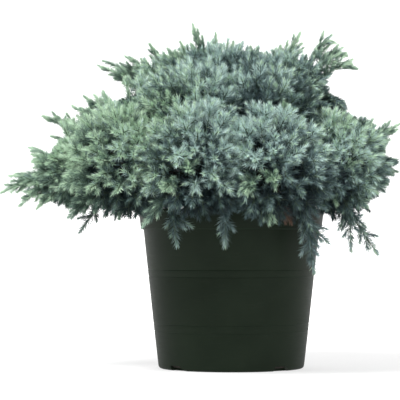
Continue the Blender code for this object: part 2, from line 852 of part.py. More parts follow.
def main():
    clear_scene()
    plant = collection_named("blue_star_juniper")
    cutters = collection_named("cutters")
    scraps = collection_named("scraps")
    pot_green = material("pot_plastic", (0.016, 0.024, 0.016), 0.42)
    mix_brown = material("potting_mix", (0.045, 0.028, 0.018), 0.95)
    bark_brown = material("bark", (0.15, 0.085, 0.05), 0.85)
    needle_blue = material("needles", (0.17, 0.27, 0.24), 0.6)

    build_pot(plant, cutters, pot_green)
    build_soil(plant, mix_brown)
    build_trunk(plant, scraps, bark_brown)
    lines = {}
    for mass in MASSES:
        lines[mass.name] = bough_points(mass, lines)
        line = lines[mass.name]
        radii = bough_radii(BOUGH_ROOT_RADIUS, BOUGH_TIP_RADIUS, len(line))
        if hangs(mass):
            radii = bough_radii(BOUGH_TIP_RADIUS, BOUGH_TIP_RADIUS * 0.75, len(line))
        tube(f"bough_{mass.name}", line, radii, 1, plant, bark_brown)
    for number, mass in enumerate(MASSES):
        build = build_hanging if hangs(mass) else build_mass
        build(mass, number, lines, plant, scraps, needle_blue)
    bpy.data.collections.remove(scraps)


main()
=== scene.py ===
"""Looks of a blue star juniper in a nursery pot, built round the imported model, in metres, +Z up.

The crown grows here by the same rule as in the part's solids: each mass has the same long shoots and tufts,
which are carried on to side shoots and single needles within the same reach.
"""

import math
import random
from collections import namedtuple

import bmesh
import bpy
import numpy as np
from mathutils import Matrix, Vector, noise

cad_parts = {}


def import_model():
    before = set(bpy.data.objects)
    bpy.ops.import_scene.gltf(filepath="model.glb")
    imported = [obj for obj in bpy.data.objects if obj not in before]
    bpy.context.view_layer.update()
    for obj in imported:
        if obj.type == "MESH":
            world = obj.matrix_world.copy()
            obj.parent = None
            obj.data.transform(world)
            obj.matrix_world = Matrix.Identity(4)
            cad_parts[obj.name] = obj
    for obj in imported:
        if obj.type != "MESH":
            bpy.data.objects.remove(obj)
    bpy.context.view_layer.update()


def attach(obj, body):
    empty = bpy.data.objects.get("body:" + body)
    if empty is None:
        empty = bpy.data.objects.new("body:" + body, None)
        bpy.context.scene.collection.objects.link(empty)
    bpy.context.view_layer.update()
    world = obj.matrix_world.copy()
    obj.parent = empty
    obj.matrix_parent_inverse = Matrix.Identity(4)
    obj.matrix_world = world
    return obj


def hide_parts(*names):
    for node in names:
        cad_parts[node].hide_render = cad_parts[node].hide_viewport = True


# The pot: sizes as in the solids but with shallower grooves, and roundings and sides for its looks
POT_HEIGHT = 0.182
BASE_RADIUS = 0.0838
WALL_SLOPE = 0.1067
WALL = 0.0022
FLOOR = 0.0030
RIM_BAND_HEIGHT = 0.0228
RIM_BAND_PROUD = 0.0032
BASE_ROUNDING = 0.0040
GROOVE_HEIGHTS = (0.1137, 0.1056, 0.0518, 0.0427)
GROOVE_WIDTH = 0.0018
GROOVE_DEPTH = 0.0004
SLOT_COUNT = 4
SLOT_FIRST_TURN = math.radians(-50)
SLOT_WIDTH = 0.0155
SLOT_SLOPE_RUN = 0.0100
SLOT_HEIGHT = 0.0055
POT_SIDES = 128
LIP_ROUNDING = 0.0012
INNER_ROUNDING = 0.0040
SHARP_TURN = math.radians(32)
CLEAR = 0.0003

# The potting mix, and how its surface falls towards the pot's wall
SOIL_TOP = 0.168
MIX_EDGE_FALL = 0.008
MIX_FALL = 0.0015
MIX_CLEAR = CLEAR * 1.2
CHIP_COUNT = 420
CHIP_REACH = 0.094
CHIP_FALL_REACH = 0.0975
CHIP_SIZES = ((0.0012, 0.0042), (0.0008, 0.0024), (0.0003, 0.0009))
CHIP_UNEVEN = (0.7, 1.2)
CHIP_TILT = 0.3
CHIP_LIFT = 0.0008
LUMP_PITCH = 120
LUMP_HEIGHT = 0.0016
CRUMB_PITCH = 420
CRUMB_HEIGHT = 0.0009
MIX_FOOT_IN = 0.002

# The trunk and the boughs, as in the solids
TRUNK_TOP = 0.238
TRUNK_FLARE_RADIUS = 0.0125
FLARE_SHARE = 0.25
TRUNK_FOOT_RADIUS = 0.0088
TRUNK_TOP_RADIUS = 0.0060
TRUNK_LEAN = Vector((-0.006, -0.003, 0))
BOUGH_ROOT_RADIUS = 0.0036
BOUGH_TIP_RADIUS = 0.0021
BOUGH_STEPS = 4
TOP_BOUGH_STEPS = 2
HANGING_BOUGH_STEPS = 3
COLLAR_LENGTH = 0.0065
COLLAR_RADIUS = 0.0046
COLLAR_RISE = 0.35
COLLAR_RISE_UP_TRUNK = 14
CURVE_PULL = 0.38
LIMB_RISE = 0.25
TOP_LIMB_RISE = 0.05
HANGING_TURN = 0.4
HANGING_TAPER = 0.75
NEAR_UPRIGHT = 0.9

# The trunk's and boughs' bark: how deep the foot stands in the mix, how many rings and sides they have,
# and the pitch and depth of furrows and plates
TRUNK_SINK = 0.004
TRUNK_RINGS = 45
TRUNK_SIDES = 22
COLLAR_SIDES = 14
COLLAR_RING_STEP = 0.0018
BOUGH_SIDES = 12
BOUGH_RING_STEP = 0.0022
FURROW_PITCH = 520
FURROW_DEPTH = 0.16
PLATE_PITCH = 260
PLATE_DEPTH = 0.06
BARK_LOW = 0.94
BARK_STRETCH = 0.35

# The masses' cores and their space, as in the solids
HEART = Vector((-0.015, 0.0, 0.215))
CORE_SHARE = 0.70
CORE_INNER_SHARE = 0.42
SWELL_SHARE = 0.42
SWELL_FROM = 0.25
SWELL_FULL = 0.75
CORE_UNEVEN = (0.95, 1.05)
CORE_FACE_COSINE = math.cos(math.radians(40))
SPACE_MARGIN = 0.0008
LIMB_MARGIN = 0.0012

# Shoots: how thick they are, and how side shoots vary, lean and curl
GOLDEN_TURN = math.radians(137.5)
TWIG_RADIUS = 0.0013
TWIG_ROOT_RADIUS = 0.00156
HANGING_RADIUS = 0.00104
SHOOT_RADIUS = 0.00080
SPRAY_TIP_RADIUS = 0.00056
SHOOT_TIP_RADIUS = 0.00048
SIDE_UNEVEN = (0.8, 1.2)
SIDE_LEAN = math.radians(44)
SIDE_LEAN_UNEVEN = (0.8, 1.15)
SIDE_CURL = 0.25
SIDE_STEPS = 3
SIDE_BARE = 0.10
SPRAY_SINK = 0.45
STEM_FROM = 0.25
STEM_PLACES = 11
STEM_STRIDE = 7
STEM_TURN = 0.8

# Needles in whorls of three along a shoot. Each pair goes from the shoot's foot to its tip. The plump
# kind is on most shoots, the slim kind on long leads, the hanging kind on the shoots that hang down, and
# the shade kind, dark broad needles that are painted shade, lines the heart of each mass.
Leafing = namedtuple("Leafing", "step length width spread")
PLUMP = Leafing(0.0014, (0.0090, 0.0074), 0.0013, (math.radians(52), math.radians(20)))
SLIM = Leafing(0.00110, (0.0086, 0.0068), 0.0014, (math.radians(44), math.radians(17)))
HANGING = Leafing(0.00125, (0.0100, 0.0076), 0.0014, (math.radians(58), math.radians(20)))
SHADE = Leafing(0.0030, (0.0130, 0.0110), 0.0030, (math.radians(75), math.radians(45)))
WHORL = 3
FIRST_WHORL = 0.3
LOOK_AHEAD = 0.02
TURN_WANDER = 0.12
LEAN_WANDER = 0.07
LENGTH_UNEVEN = (0.85, 1.12)
WIDTH_UNEVEN = (0.85, 1.15)
CLOSING_LENGTH = 0.013
CLOSING_POWER = 1.2
YOUNGEST_SHARE = 0.72
YOUNG_GROWTH = 5
NEEDLE_FOOT = SHOOT_RADIUS * 0.5
NEEDLE_WIDEST = 0.32
NEEDLE_KEEL = 0.00080
NEEDLE_CURVE = 0.10
NEEDLE_MARGIN = 0.0006

# Tufts: how far they reach, which way they grow, how short those from the core's corners are, and the
# lengths that are tried in turn where one would leave its space. Side shoots stand round each.
TUFT_REACH = (0.88, 1.06)
TUFT_LEAST = 0.0060
SPRAY_REACH = 0.96
SPRAY_SIDE = -0.30
SPRAY_OUTWARD = 0.7
SPRAY_BEND = 4
SPRAY_RISE = 0.28
SPRAY_RISE_ABOVE = -0.3
CORNER_SWELL = 0.4
CORNER_SHARE = 0.6
SIDE_TUFT = 0.022
NEIGHBOUR_SLACK = 0.020
SHORTENINGS = (1, 0.8, 0.6, 0.45, 0.3)
LOBE_PITCH = 26
LOBE_REACH = 0.30
LEAFY_LENGTH = 0.034
SIDE_SHOOTS = 7
SIDE_FIRST = 0.02
SIDE_RANGE = 0.62
SIDE_LENGTH = (0.0180, 0.0115)

# Long leads, which branch again near their foot, and the shoots that hang down
FROND_BARE = 0.25
FROND_STEPS = 6
FROND_STEP = 0.0044
FROND_SIDE = (0.0100, 0.0240)
FROND_UNEVEN = (0.85, 1.15)
FROND_GROWTH = 0.45
FROND_LEAN = math.radians(27)
FROND_SIDE_BARE = 0.05
BRANCHING_REACH = 0.017
BRANCH_REACH = 0.011
BRANCH_PLACES = (0.25, 0.50)
SPINDLE_LENGTH = 0.0150
HANGING_FIRST = 0.003
HANGING_STEP = 0.0054
HANGING_SIDE = (0.010, 0.018)
HANGING_GROWTH = 0.30
HANGING_BRANCH_BARE = 0.1
DEAD_TIP = ("front_right", 1)

# The heart of each mass: dark shoots that are painted shade
SHADE_TONE = 2.0
SHADE_GREEN = 0.3
SHADE_SINK = 0.86

# Tones run from 0 in the shade to 7 at the palest, and are painted light and shade. A spray's tone follows
# how squarely it faces the light (painted light), the lobes of the crown (paler where they stand out, painted
# shade in the hollows) and painted shade low down, and its needles are darker towards its foot (painted
# shade).
TONES = 8
MIDDLE_TONE = 3.1
LIT_TONE = 4.5
LIT_POWER = 1.5
PAINTED_LIGHT_SIDE = Vector((-0.14, -0.42, 0.80)).normalized()
LOBE_PAINTED_SHADE = 3.2
SHADE_BELOW = 0.203
SHADE_DEPTH = 0.013
TONE_WANDER = 0.35
SIDE_TONE_WANDER = 0.3
FROND_TONE_WANDER = 0.4
NEEDLE_TONE_WANDER = 0.50
FOOT_SHADE = 3.3
LOW_SIDE_SHADE = 1.1
LEAD_TONE = 5.2
LEAD_PALER = 0.8
PALEST_LEAD = 6.2

# Greener needles: their share grows to both sides and towards the top, in soft patches, and along a shoot
GREEN_SHARE = -0.05
GREEN_ASIDE = 4.2
GREEN_MIDDLE = 0.02
GREEN_UPWARD = 2.5
GREEN_ABOVE = 0.32
GREEN_PATCH = 0.5
GREEN_PATCH_PITCH = 11
GREEN_PATCH_AT = Vector((7, 3, 1))
GREEN_LIMITS = (0.05, 0.95)
GREEN_ALONG = 0.5
LEAD_GREEN = 0.92

# Needle colours, from the painted shade at the heart of the crown to the palest tips, with painted light and
# shade in the tones between, the tints of the greener and the bluer needles, and the brown of a dead shoot
SHADE_NEEDLE = (0.0120, 0.0250, 0.0275)
PALE_NEEDLE = (0.595, 0.735, 0.640)
GREEN_TINT = (0.98, 1.03, 0.87)
BLUE_TINT = (0.955, 0.98, 1.06)
DEAD_NEEDLE = (0.120, 0.074, 0.050)
TONE_CURVE = 0.85

# The photo's view: its distance and place, and how wide the picture is at the pot's axis
VIEW_DISTANCE = 2.3
VIEW_AT = Vector((-0.0359, -VIEW_DISTANCE, 0.147))
VIEW_WIDTH = 0.46
VIEW_SHIFT = 0.1
SENSOR_WIDTH = 36

# Round places beside the crown where the photo shows sky, as x, z and radius in the plane through the
# pot's axis, as seen from the front. Tufts and side shoots keep out of them.
OPEN_SKY = [
    (-0.207, 0.269, 0.015), (-0.190, 0.271, 0.008), (-0.222, 0.264, 0.015), (-0.213, 0.255, 0.011),
    (-0.238, 0.231, 0.011), (-0.208, 0.179, 0.014), (-0.231, 0.179, 0.012), (-0.132, 0.318, 0.012),
    (-0.116, 0.316, 0.008), (0.093, 0.379, 0.012), (0.128, 0.326, 0.018), (0.146, 0.301, 0.015),
    (0.167, 0.289, 0.010), (0.186, 0.250, 0.010), (0.169, 0.186, 0.011), (-0.250, 0.232, 0.011),
    (-0.137, 0.349, 0.008),
]

# How some masses depart from the rule, where the photo differs: how much paler or darker they are painted
# (painted light and shade for masses that stand in more or less light), the share that their tufts reach, the
# share that tufts pointing down lose, their leads' width, painted tone and droop, and the bare share of a
# hanging shoot
Habit = namedtuple("Habit", "tone tuft trim width lead_tone droop bare", defaults=(0, 1, 0.35, 1, 0, 0, 0))
HABITS = {
    "far_left": Habit(tone=0.4, tuft=0.80, width=0.95, lead_tone=1.0),
    "left_front": Habit(tone=0.6, tuft=0.95, lead_tone=-0.2),
    "front_right": Habit(tone=0.5, width=1.3, lead_tone=1.1),
    "right_front": Habit(tone=0.5, trim=0.0, width=1.3, lead_tone=1.2),
    "far_right": Habit(tone=-0.9, tuft=0.82, trim=0.1, width=1.1, lead_tone=0.4, droop=0.016),
    "right_back": Habit(tone=1.3, tuft=0.76),
    "back": Habit(tone=0.5),
    "left_back": Habit(tone=0.6),
    "rear_left": Habit(tuft=0.74, width=1.1, droop=0.022),
    "upper_left": Habit(tone=0.5, tuft=0.90, width=0.8),
    "upper_right_front": Habit(tone=-1.6, tuft=0.90),
    "upper_right": Habit(tone=-0.9, tuft=0.88, width=0.95, lead_tone=1.2),
    "upper_back": Habit(tone=-0.9, tuft=0.86, width=1.25),
    "top_left": Habit(tone=-0.7, tuft=0.90, width=0.80, lead_tone=-0.2),
    "top": Habit(tone=-0.7, tuft=0.90, lead_tone=-0.2),
    "hanging_left": Habit(lead_tone=-2.2),
    "hanging_front_left": Habit(lead_tone=-0.5),
    "hanging_right": Habit(bare=0.45),
}

# A mass: its name, its centre, its radius, the tips of its longest shoots, how far its shoots bend up (or
# down, when negative), and what carries it: a height on the trunk, None for the trunk's top end, or the
# name of another mass. The last kind hangs from that mass's bough, as one shoot from its own centre.
Mass = namedtuple("Mass", "name at size tips bend carrier")

LOW, MIDDLE, HIGH, TOP = 0.1880, 0.2000, 0.2130, 0.2250

MASSES = [
    Mass("far_left", (-0.176, -0.034, 0.225), 0.047, [
        (-0.259, -0.045, 0.201), (-0.237, -0.062, 0.186), (-0.252, -0.020, 0.220),
        (-0.231, -0.005, 0.253), (-0.217, -0.070, 0.183),
    ], -0.010, LOW),
    Mass("left_front", (-0.118, -0.108, 0.222), 0.066, [
        (-0.177, -0.150, 0.172), (-0.123, -0.135, 0.171), (-0.144, -0.180, 0.232),
        (-0.183, -0.165, 0.206),
    ], -0.010, MIDDLE),
    Mass("front_left", (-0.040, -0.146, 0.220), 0.068, [
        (-0.048, -0.218, 0.220), (-0.097, -0.160, 0.162), (-0.074, -0.210, 0.199),
    ], -0.020, LOW),
    Mass("front_right", (0.038, -0.144, 0.218), 0.068, [
        (0.041, -0.212, 0.210), (0.061, -0.158, 0.166), (0.038, -0.164, 0.165), (0.012, -0.206, 0.197),
    ], -0.020, MIDDLE),
    Mass("right_front", (0.108, -0.088, 0.219), 0.064, [
        (0.128, -0.144, 0.222), (0.147, -0.104, 0.185), (0.158, -0.096, 0.200), (0.112, -0.128, 0.186),
    ], -0.020, LOW),
    Mass("far_right", (0.134, -0.006, 0.238), 0.051, [
        (0.191, -0.010, 0.279), (0.163, 0.010, 0.285), (0.181, 0.005, 0.262), (0.187, -0.010, 0.239),
        (0.187, -0.024, 0.225), (0.174, -0.030, 0.211),
    ], 0.010, MIDDLE),
    Mass("right_back", (0.102, 0.086, 0.236), 0.072, [(0.164, 0.130, 0.256)], 0.020, LOW),
    Mass("back", (0.008, 0.142, 0.236), 0.074, [(0.021, 0.218, 0.254)], 0.020, MIDDLE),
    Mass("left_back", (-0.084, 0.118, 0.240), 0.072, [(-0.126, 0.194, 0.259)], 0.020, LOW),
    Mass("rear_left", (-0.150, 0.046, 0.242), 0.052, [
        (-0.219, 0.044, 0.292), (-0.210, 0.060, 0.269), (-0.190, 0.020, 0.271),
    ], 0.010, MIDDLE),
    Mass("upper_left", (-0.110, -0.022, 0.270), 0.052, [
        (-0.179, -0.030, 0.298), (-0.167, -0.020, 0.310), (-0.142, -0.040, 0.306),
        (-0.118, -0.030, 0.317),
    ], 0.010, HIGH),
    Mass("upper_front", (-0.040, -0.080, 0.279), 0.062, [(-0.071, -0.138, 0.307)], 0.020, TOP),
    Mass("upper_right_front", (0.034, -0.074, 0.277), 0.062, [(0.058, -0.136, 0.293)], 0.000, HIGH),
    Mass("upper_right", (0.068, 0.000, 0.299), 0.051, [
        (0.116, 0.008, 0.376), (0.132, 0.000, 0.359), (0.143, -0.008, 0.344),
    ], -0.055, TOP),
    Mass("upper_back", (0.040, 0.066, 0.304), 0.064, [
        (0.082, 0.064, 0.391), (0.059, 0.060, 0.375), (0.024, 0.050, 0.372),
    ], 0.020, HIGH),
    Mass("top_left", (-0.064, 0.048, 0.306), 0.056, [
        (-0.154, 0.044, 0.351), (-0.149, 0.060, 0.358), (-0.122, 0.050, 0.362), (-0.094, 0.040, 0.375),
    ], -0.010, TOP),
    Mass("top", (-0.016, 0.000, 0.317), 0.058, [
        (-0.044, 0.000, 0.394), (-0.058, -0.016, 0.372), (-0.018, 0.008, 0.384), (0.002, 0.006, 0.374),
        (-0.072, -0.010, 0.365),
    ], 0.010, None),
    Mass("hanging_left", (-0.147, -0.084, 0.185), 0.034, [(-0.168, -0.090, 0.157)], 0.000, "far_left"),
    Mass("hanging_front_left", (-0.064, -0.132, 0.180), 0.030, [
        (-0.061, -0.136, 0.142), (-0.046, -0.134, 0.162),
    ], 0.000, "front_left"),
    Mass("hanging_front", (-0.008, -0.132, 0.182), 0.030, [(-0.009, -0.136, 0.141)], 0.000, "front_right"),
    Mass("hanging_front_right", (0.078, -0.096, 0.178), 0.030, [
        (0.090, -0.094, 0.112), (0.105, -0.090, 0.145),
    ], 0.000, "right_front"),
    Mass("hanging_right", (0.123, -0.062, 0.188), 0.034, [
        (0.163, -0.056, 0.132), (0.133, -0.062, 0.136), (0.150, -0.044, 0.162), (0.120, -0.058, 0.160),
    ], 0.000, "right_front"),
]

MASSES = [
    mass._replace(at=Vector(mass.at), tips=[Vector(tip) for tip in mass.tips]) for mass in MASSES
]

# The pieces that the needles are joined into, with the masses that each stands for
CROWN_PIECES = {
    "needles_left": ("far_left", "left_front", "hanging_left"),
    "needles_front": ("front_left", "front_right", "hanging_front_left", "hanging_front"),
    "needles_right": ("right_front", "far_right", "hanging_front_right", "hanging_right"),
    "needles_right_back": ("right_back", "back"),
    "needles_left_back": ("left_back", "rear_left"),
    "needles_upper_front": ("upper_left", "upper_front", "upper_right_front"),
    "needles_top": ("upper_right", "upper_back"),
    "needles_top_left": ("top_left", "top"),
}


def wall_radius(height):
    return BASE_RADIUS + WALL_SLOPE * height


RIM_RADIUS = wall_radius(POT_HEIGHT) + RIM_BAND_PROUD


def trunk_line(height):
    share = (height - SOIL_TOP) / (TRUNK_TOP - SOIL_TOP)
    return Vector((0, 0, height)) + TRUNK_LEAN * share * share


def trunk_radius(height):
    share = (height - SOIL_TOP) / (TRUNK_TOP - SOIL_TOP)
    flare = (TRUNK_FLARE_RADIUS - TRUNK_FOOT_RADIUS) * max(0, 1 - share / FLARE_SHARE) ** 2
    return between((TRUNK_FOOT_RADIUS, TRUNK_TOP_RADIUS), share) + flare


def out_of_trunk(mass):
    return Vector((mass.at.x, mass.at.y, 0)).normalized()


def hangs(mass):
    return isinstance(mass.carrier, str)


def habit(mass):
    return HABITS.get(mass.name, Habit())


def between(ends, share):
    """The value at a share of the way from the first of two to the second."""
    return ends[0] + (ends[1] - ends[0]) * share


def collar_direction(mass):
    rise = COLLAR_RISE + COLLAR_RISE_UP_TRUNK * (mass.carrier - LOW)
    return (out_of_trunk(mass) + Vector((0, 0, rise))).normalized()


def collar_end(mass):
    reach = trunk_radius(mass.carrier) + COLLAR_LENGTH
    return trunk_line(mass.carrier) + collar_direction(mass) * reach


def curve_through(start, start_way, end, end_way, steps):
    """Points on a smooth curve that leaves start along start_way and arrives at end along end_way."""
    span = (end - start).length
    near = start + start_way * span * CURVE_PULL
    far = end - end_way * span * CURVE_PULL
    points = []
    for step in range(steps + 1):
        t = step / steps
        s = 1 - t
        points.append(start * s**3 + near * (3 * s * s * t) + far * (3 * s * t * t) + end * t**3)
    return points


def mass_way_in(mass):
    if hangs(mass):
        way = (mass.tips[0] - mass.at).normalized()
        return (way + out_of_trunk(mass) * HANGING_TURN - Vector((0, 0, HANGING_TURN))).normalized()
    return ((mass.at - HEART).normalized() + Vector((0, 0, LIMB_RISE))).normalized()


def bough_tip(mass):
    if hangs(mass):
        return mass.at
    back = mass.size * CORE_INNER_SHARE + BOUGH_TIP_RADIUS + LIMB_MARGIN
    return mass.at - mass_way_in(mass) * back


def bough_radii(root, tip, count):
    return [between((root, tip), i / (count - 1)) for i in range(count)]


def bough_points(mass, lines):
    """The middle line of the bough that carries a mass, as in the solids."""
    way_in = mass_way_in(mass)
    end = bough_tip(mass)
    steps = BOUGH_STEPS
    if mass.carrier is None:
        start_way = Vector((TRUNK_LEAN.x, TRUNK_LEAN.y, TOP_LIMB_RISE)).normalized()
        start = trunk_line(TRUNK_TOP) + start_way * CLEAR
        steps = TOP_BOUGH_STEPS
    elif not hangs(mass):
        start_way = collar_direction(mass)
        start = collar_end(mass) + start_way * CLEAR
    else:
        carrier = lines[mass.carrier]
        root = carrier[-3]
        root_radius = bough_radii(BOUGH_ROOT_RADIUS, BOUGH_TIP_RADIUS, len(carrier))[-3]
        along = (carrier[-2] - carrier[-4]).normalized()
        start_way = end - root
        start_way = (start_way - along * start_way.dot(along)).normalized()
        start = root + start_way * (root_radius + CLEAR * 0.5)
        steps = HANGING_BOUGH_STEPS
    straight = start + start_way * BOUGH_ROOT_RADIUS
    straight_end = end - way_in * BOUGH_ROOT_RADIUS
    return [start] + curve_through(straight, start_way, straight_end, way_in, steps) + [end]


def square_to(way):
    helper = Vector((0, 0, 1)) if abs(way.z) < NEAR_UPRIGHT else Vector((1, 0, 0))
    across = way.cross(helper).normalized()
    return across, way.cross(across).normalized()


def leaning(way, turn, lean):
    """The way that leans from another by an angle, towards the side that the turn round it gives."""
    across, up = square_to(way)
    side = across * math.cos(turn) + up * math.sin(turn)
    return way * math.cos(lean) + side * math.sin(lean)


def off_pot(point):
    """Whether a point is clear of the pot and of what fills it."""
    out = math.hypot(point.x, point.y)
    return point.z > POT_HEIGHT + LIMB_MARGIN or out > RIM_RADIUS + LIMB_MARGIN


def neighbours(mass):
    """The other masses, each with the line to its centre and the border's distance along it."""
    for other in MASSES:
        if other.name != mass.name:
            apart = other.at - mass.at
            yield other, apart, apart.length * mass.size / (mass.size + other.size)


def in_own_space(mass, point):
    """Whether a point is clear of the pot and at most a little beyond the mass's borders."""
    for _, apart, border in neighbours(mass):
        if (point - mass.at).dot(apart.normalized()) > border - SPACE_MARGIN + NEIGHBOUR_SLACK:
            return False
    return off_pot(point)


def in_open_sky(point):
    nearer = VIEW_DISTANCE / (point.y + VIEW_DISTANCE)
    seen = VIEW_AT + (point - VIEW_AT) * nearer
    return any(math.hypot(seen.x - x, seen.z - z) < radius for x, z, radius in OPEN_SKY)


def crown_side(mass):
    lead = (mass.tips[0] - mass.at).normalized()
    return ((mass.at - HEART).normalized() * 2 + lead).normalized()


def swell(mass, way):
    """How squarely a way points at a neighbouring mass, from 0 for not at all to 1."""
    nearest = 0
    for other, apart, _ in neighbours(mass):
        if not hangs(other) and apart.length < mass.size + other.size:
            nearest = max(nearest, way.dot(apart.normalized()))
    return min(1, max(0, (nearest - SWELL_FROM) / (SWELL_FULL - SWELL_FROM)))


def room_for_core(mass, way, most, limb_points):
    """How far the core reaches one way, inside the mass's space and clear of limbs and of the pot."""
    for _, apart, border in neighbours(mass):
        along = way.dot(apart.normalized())
        if along > 0:
            most = min(most, (border - 2 * SPACE_MARGIN) / along)
    for point in limb_points:
        apart = point - mass.at
        if way.dot(apart.normalized()) > CORE_FACE_COSINE:
            most = min(most, apart.length - BOUGH_ROOT_RADIUS - LIMB_MARGIN)
    steps = 12
    for i in range(1, steps + 1):
        point = mass.at + way * most * i / steps
        over = point.z - POT_HEIGHT - 2 * LIMB_MARGIN
        beside = math.hypot(point.x, point.y) - RIM_RADIUS - 2 * LIMB_MARGIN
        if over < 0 and over + beside < 0:
            return most * (i - 1) / steps
    return most


def points_on_limbs(lines):
    steps = 4
    points = []
    for line in lines.values():
        for a, b in zip(line[:-1], line[1:]):
            points += [a.lerp(b, i / steps) for i in range(steps + 1)]
    return points


def core_mesh(mass, limb_points, rng):
    """The uneven ball that the sprays of a mass stand out of, as in the solids. It isn't shown."""
    core = bmesh.new()
    bmesh.ops.create_icosphere(core, subdivisions=2, radius=1)
    inward = -mass_way_in(mass)
    for vertex in core.verts:
        way = vertex.co.normalized()
        inner = max(0, way.dot(inward))
        share = between((CORE_SHARE, CORE_INNER_SHARE), inner)
        share += SWELL_SHARE * swell(mass, way) * (1 - inner * inner)
        uneven = mass.size * share * rng.uniform(*CORE_UNEVEN)
        vertex.co = mass.at + way * room_for_core(mass, way, uneven, limb_points)
    return core


# A shoot that stands on a core, and what is gathered for one piece: blocks of needles, and twigs as lines
# with their radii at both ends
Spray = namedtuple("Spray", "foot tip lead")
Foliage = namedtuple("Foliage", "needles twigs")


def lobe(point):
    """How far the crown bulges at a point: lobes a few centimetres wide stand out, and are painted paler,
    with painted shade in the hollows between them.
    """
    return noise.noise(point * LOBE_PITCH)


def sprays_of(mass, core, rng):
    """The mass's long leads and its tufts, from the core's faces, as in the solids, and shorter tufts
    from the core's corners, which fill the space between them."""
    faces = {face: face.calc_center_median() for face in core.faces}
    sprays = []
    for tip in mass.tips:
        way = (tip - mass.at).normalized()
        face = max(faces, key=lambda each: (faces[each] - mass.at).normalized().dot(way))
        if (tip - faces[face]).length > TUFT_LEAST:
            sprays.append(Spray(faces.pop(face), tip, True))
    feet = [(foot, 1, SIDE_TUFT) for foot in faces.values()]
    for vertex in core.verts:
        if swell(mass, (vertex.co - mass.at).normalized()) > CORNER_SWELL:
            feet.append((vertex.co.copy(), CORNER_SHARE, TUFT_LEAST))
    for foot, height, least in feet:
        tip = tuft_tip(mass, foot, height, least, rng)
        if tip is not None:
            sprays.append(Spray(foot, tip, False))
    return sprays


def tuft_tip(mass, foot, height, least, rng):
    """Where a tuft from a foot ends, or None where it has no room or would grow into the crown."""
    outward = (foot - mass.at).normalized()
    if outward.dot(crown_side(mass)) < SPRAY_SIDE:
        return None
    reach = rng.uniform(*TUFT_REACH) * habit(mass).tuft * (SPRAY_REACH + LOBE_REACH * lobe(foot))
    full = max((mass.size * reach - (foot - mass.at).length) * height, least)
    way = outward * SPRAY_OUTWARD + (foot - HEART).normalized() + Vector((0, 0, mass.bend * SPRAY_BEND))
    if outward.z > SPRAY_RISE_ABOVE:
        way.z += SPRAY_RISE
    way.normalize()
    full *= 1 - habit(mass).trim * max(0, -way.z)
    for share in SHORTENINGS:
        tip = foot + way * full * share
        if in_own_space(mass, tip) and not in_open_sky(tip):
            return tip
    return None


def shade_shoots(foliage, mass, core, rng):
    """Dark broad-needled shoots that lie just under the core's surface, behind the sprays: painted shade that
    shows through the gaps between the sprays.
    """
    sink = SHADE_SINK * math.sqrt(habit(mass).tuft)
    for face in core.faces:
        corners = [mass.at.lerp(vertex.co, sink) for vertex in face.verts]
        end = (corners[1] + corners[2]) / 2
        line = [corners[0], corners[0].lerp(end, 0.5), end]
        needles_on(foliage, line, SHADE_TONE, SHADE_GREEN, rng, SHADE)


def needle_mesh(name, blocks, looks):
    """One mesh of two triangles for each needle, one paler than the other."""
    points, pale, dark = [np.concatenate(part) for part in zip(*blocks)]
    faces = (np.arange(len(points)) * 4)[:, None, None] + np.array([[0, 1, 3], [0, 3, 2]])
    slots = np.stack([pale, dark], axis=1).reshape(-1)
    return mesh_object(name, points.reshape(-1, 3), faces.reshape(-1, 3), looks, slots)


def place(name, data):
    """A new object for a mesh, a light or a camera, in the scene."""
    made = bpy.data.objects.new(name, data)
    bpy.context.scene.collection.objects.link(made)
    return made


def mesh_object(name, points, faces, looks, slots=None, smooth=False):
    """A mesh object from arrays of points and of triangles."""
    mesh = bpy.data.meshes.new(name)
    mesh.from_pydata(points, [], faces)
    if slots is not None:
        mesh.polygons.foreach_set("material_index", slots.astype(np.int32))
    mesh.polygons.foreach_set("use_smooth", np.full(len(faces), smooth))
    mesh.validate()
    for look in looks:
        mesh.materials.append(look)
    return place(name, mesh)


def joined_mesh(name, blocks, look, smooth=False):
    """One mesh object from many blocks of points and triangles."""
    offset = 0
    points, faces = [], []
    for block_points, block_faces in blocks:
        points.append(block_points)
        faces.append(block_faces + offset)
        offset += len(block_points)
    return mesh_object(name, np.concatenate(points), np.concatenate(faces), [look], smooth=smooth)


def unit(rows):
    return rows / np.linalg.norm(rows, axis=-1, keepdims=True)


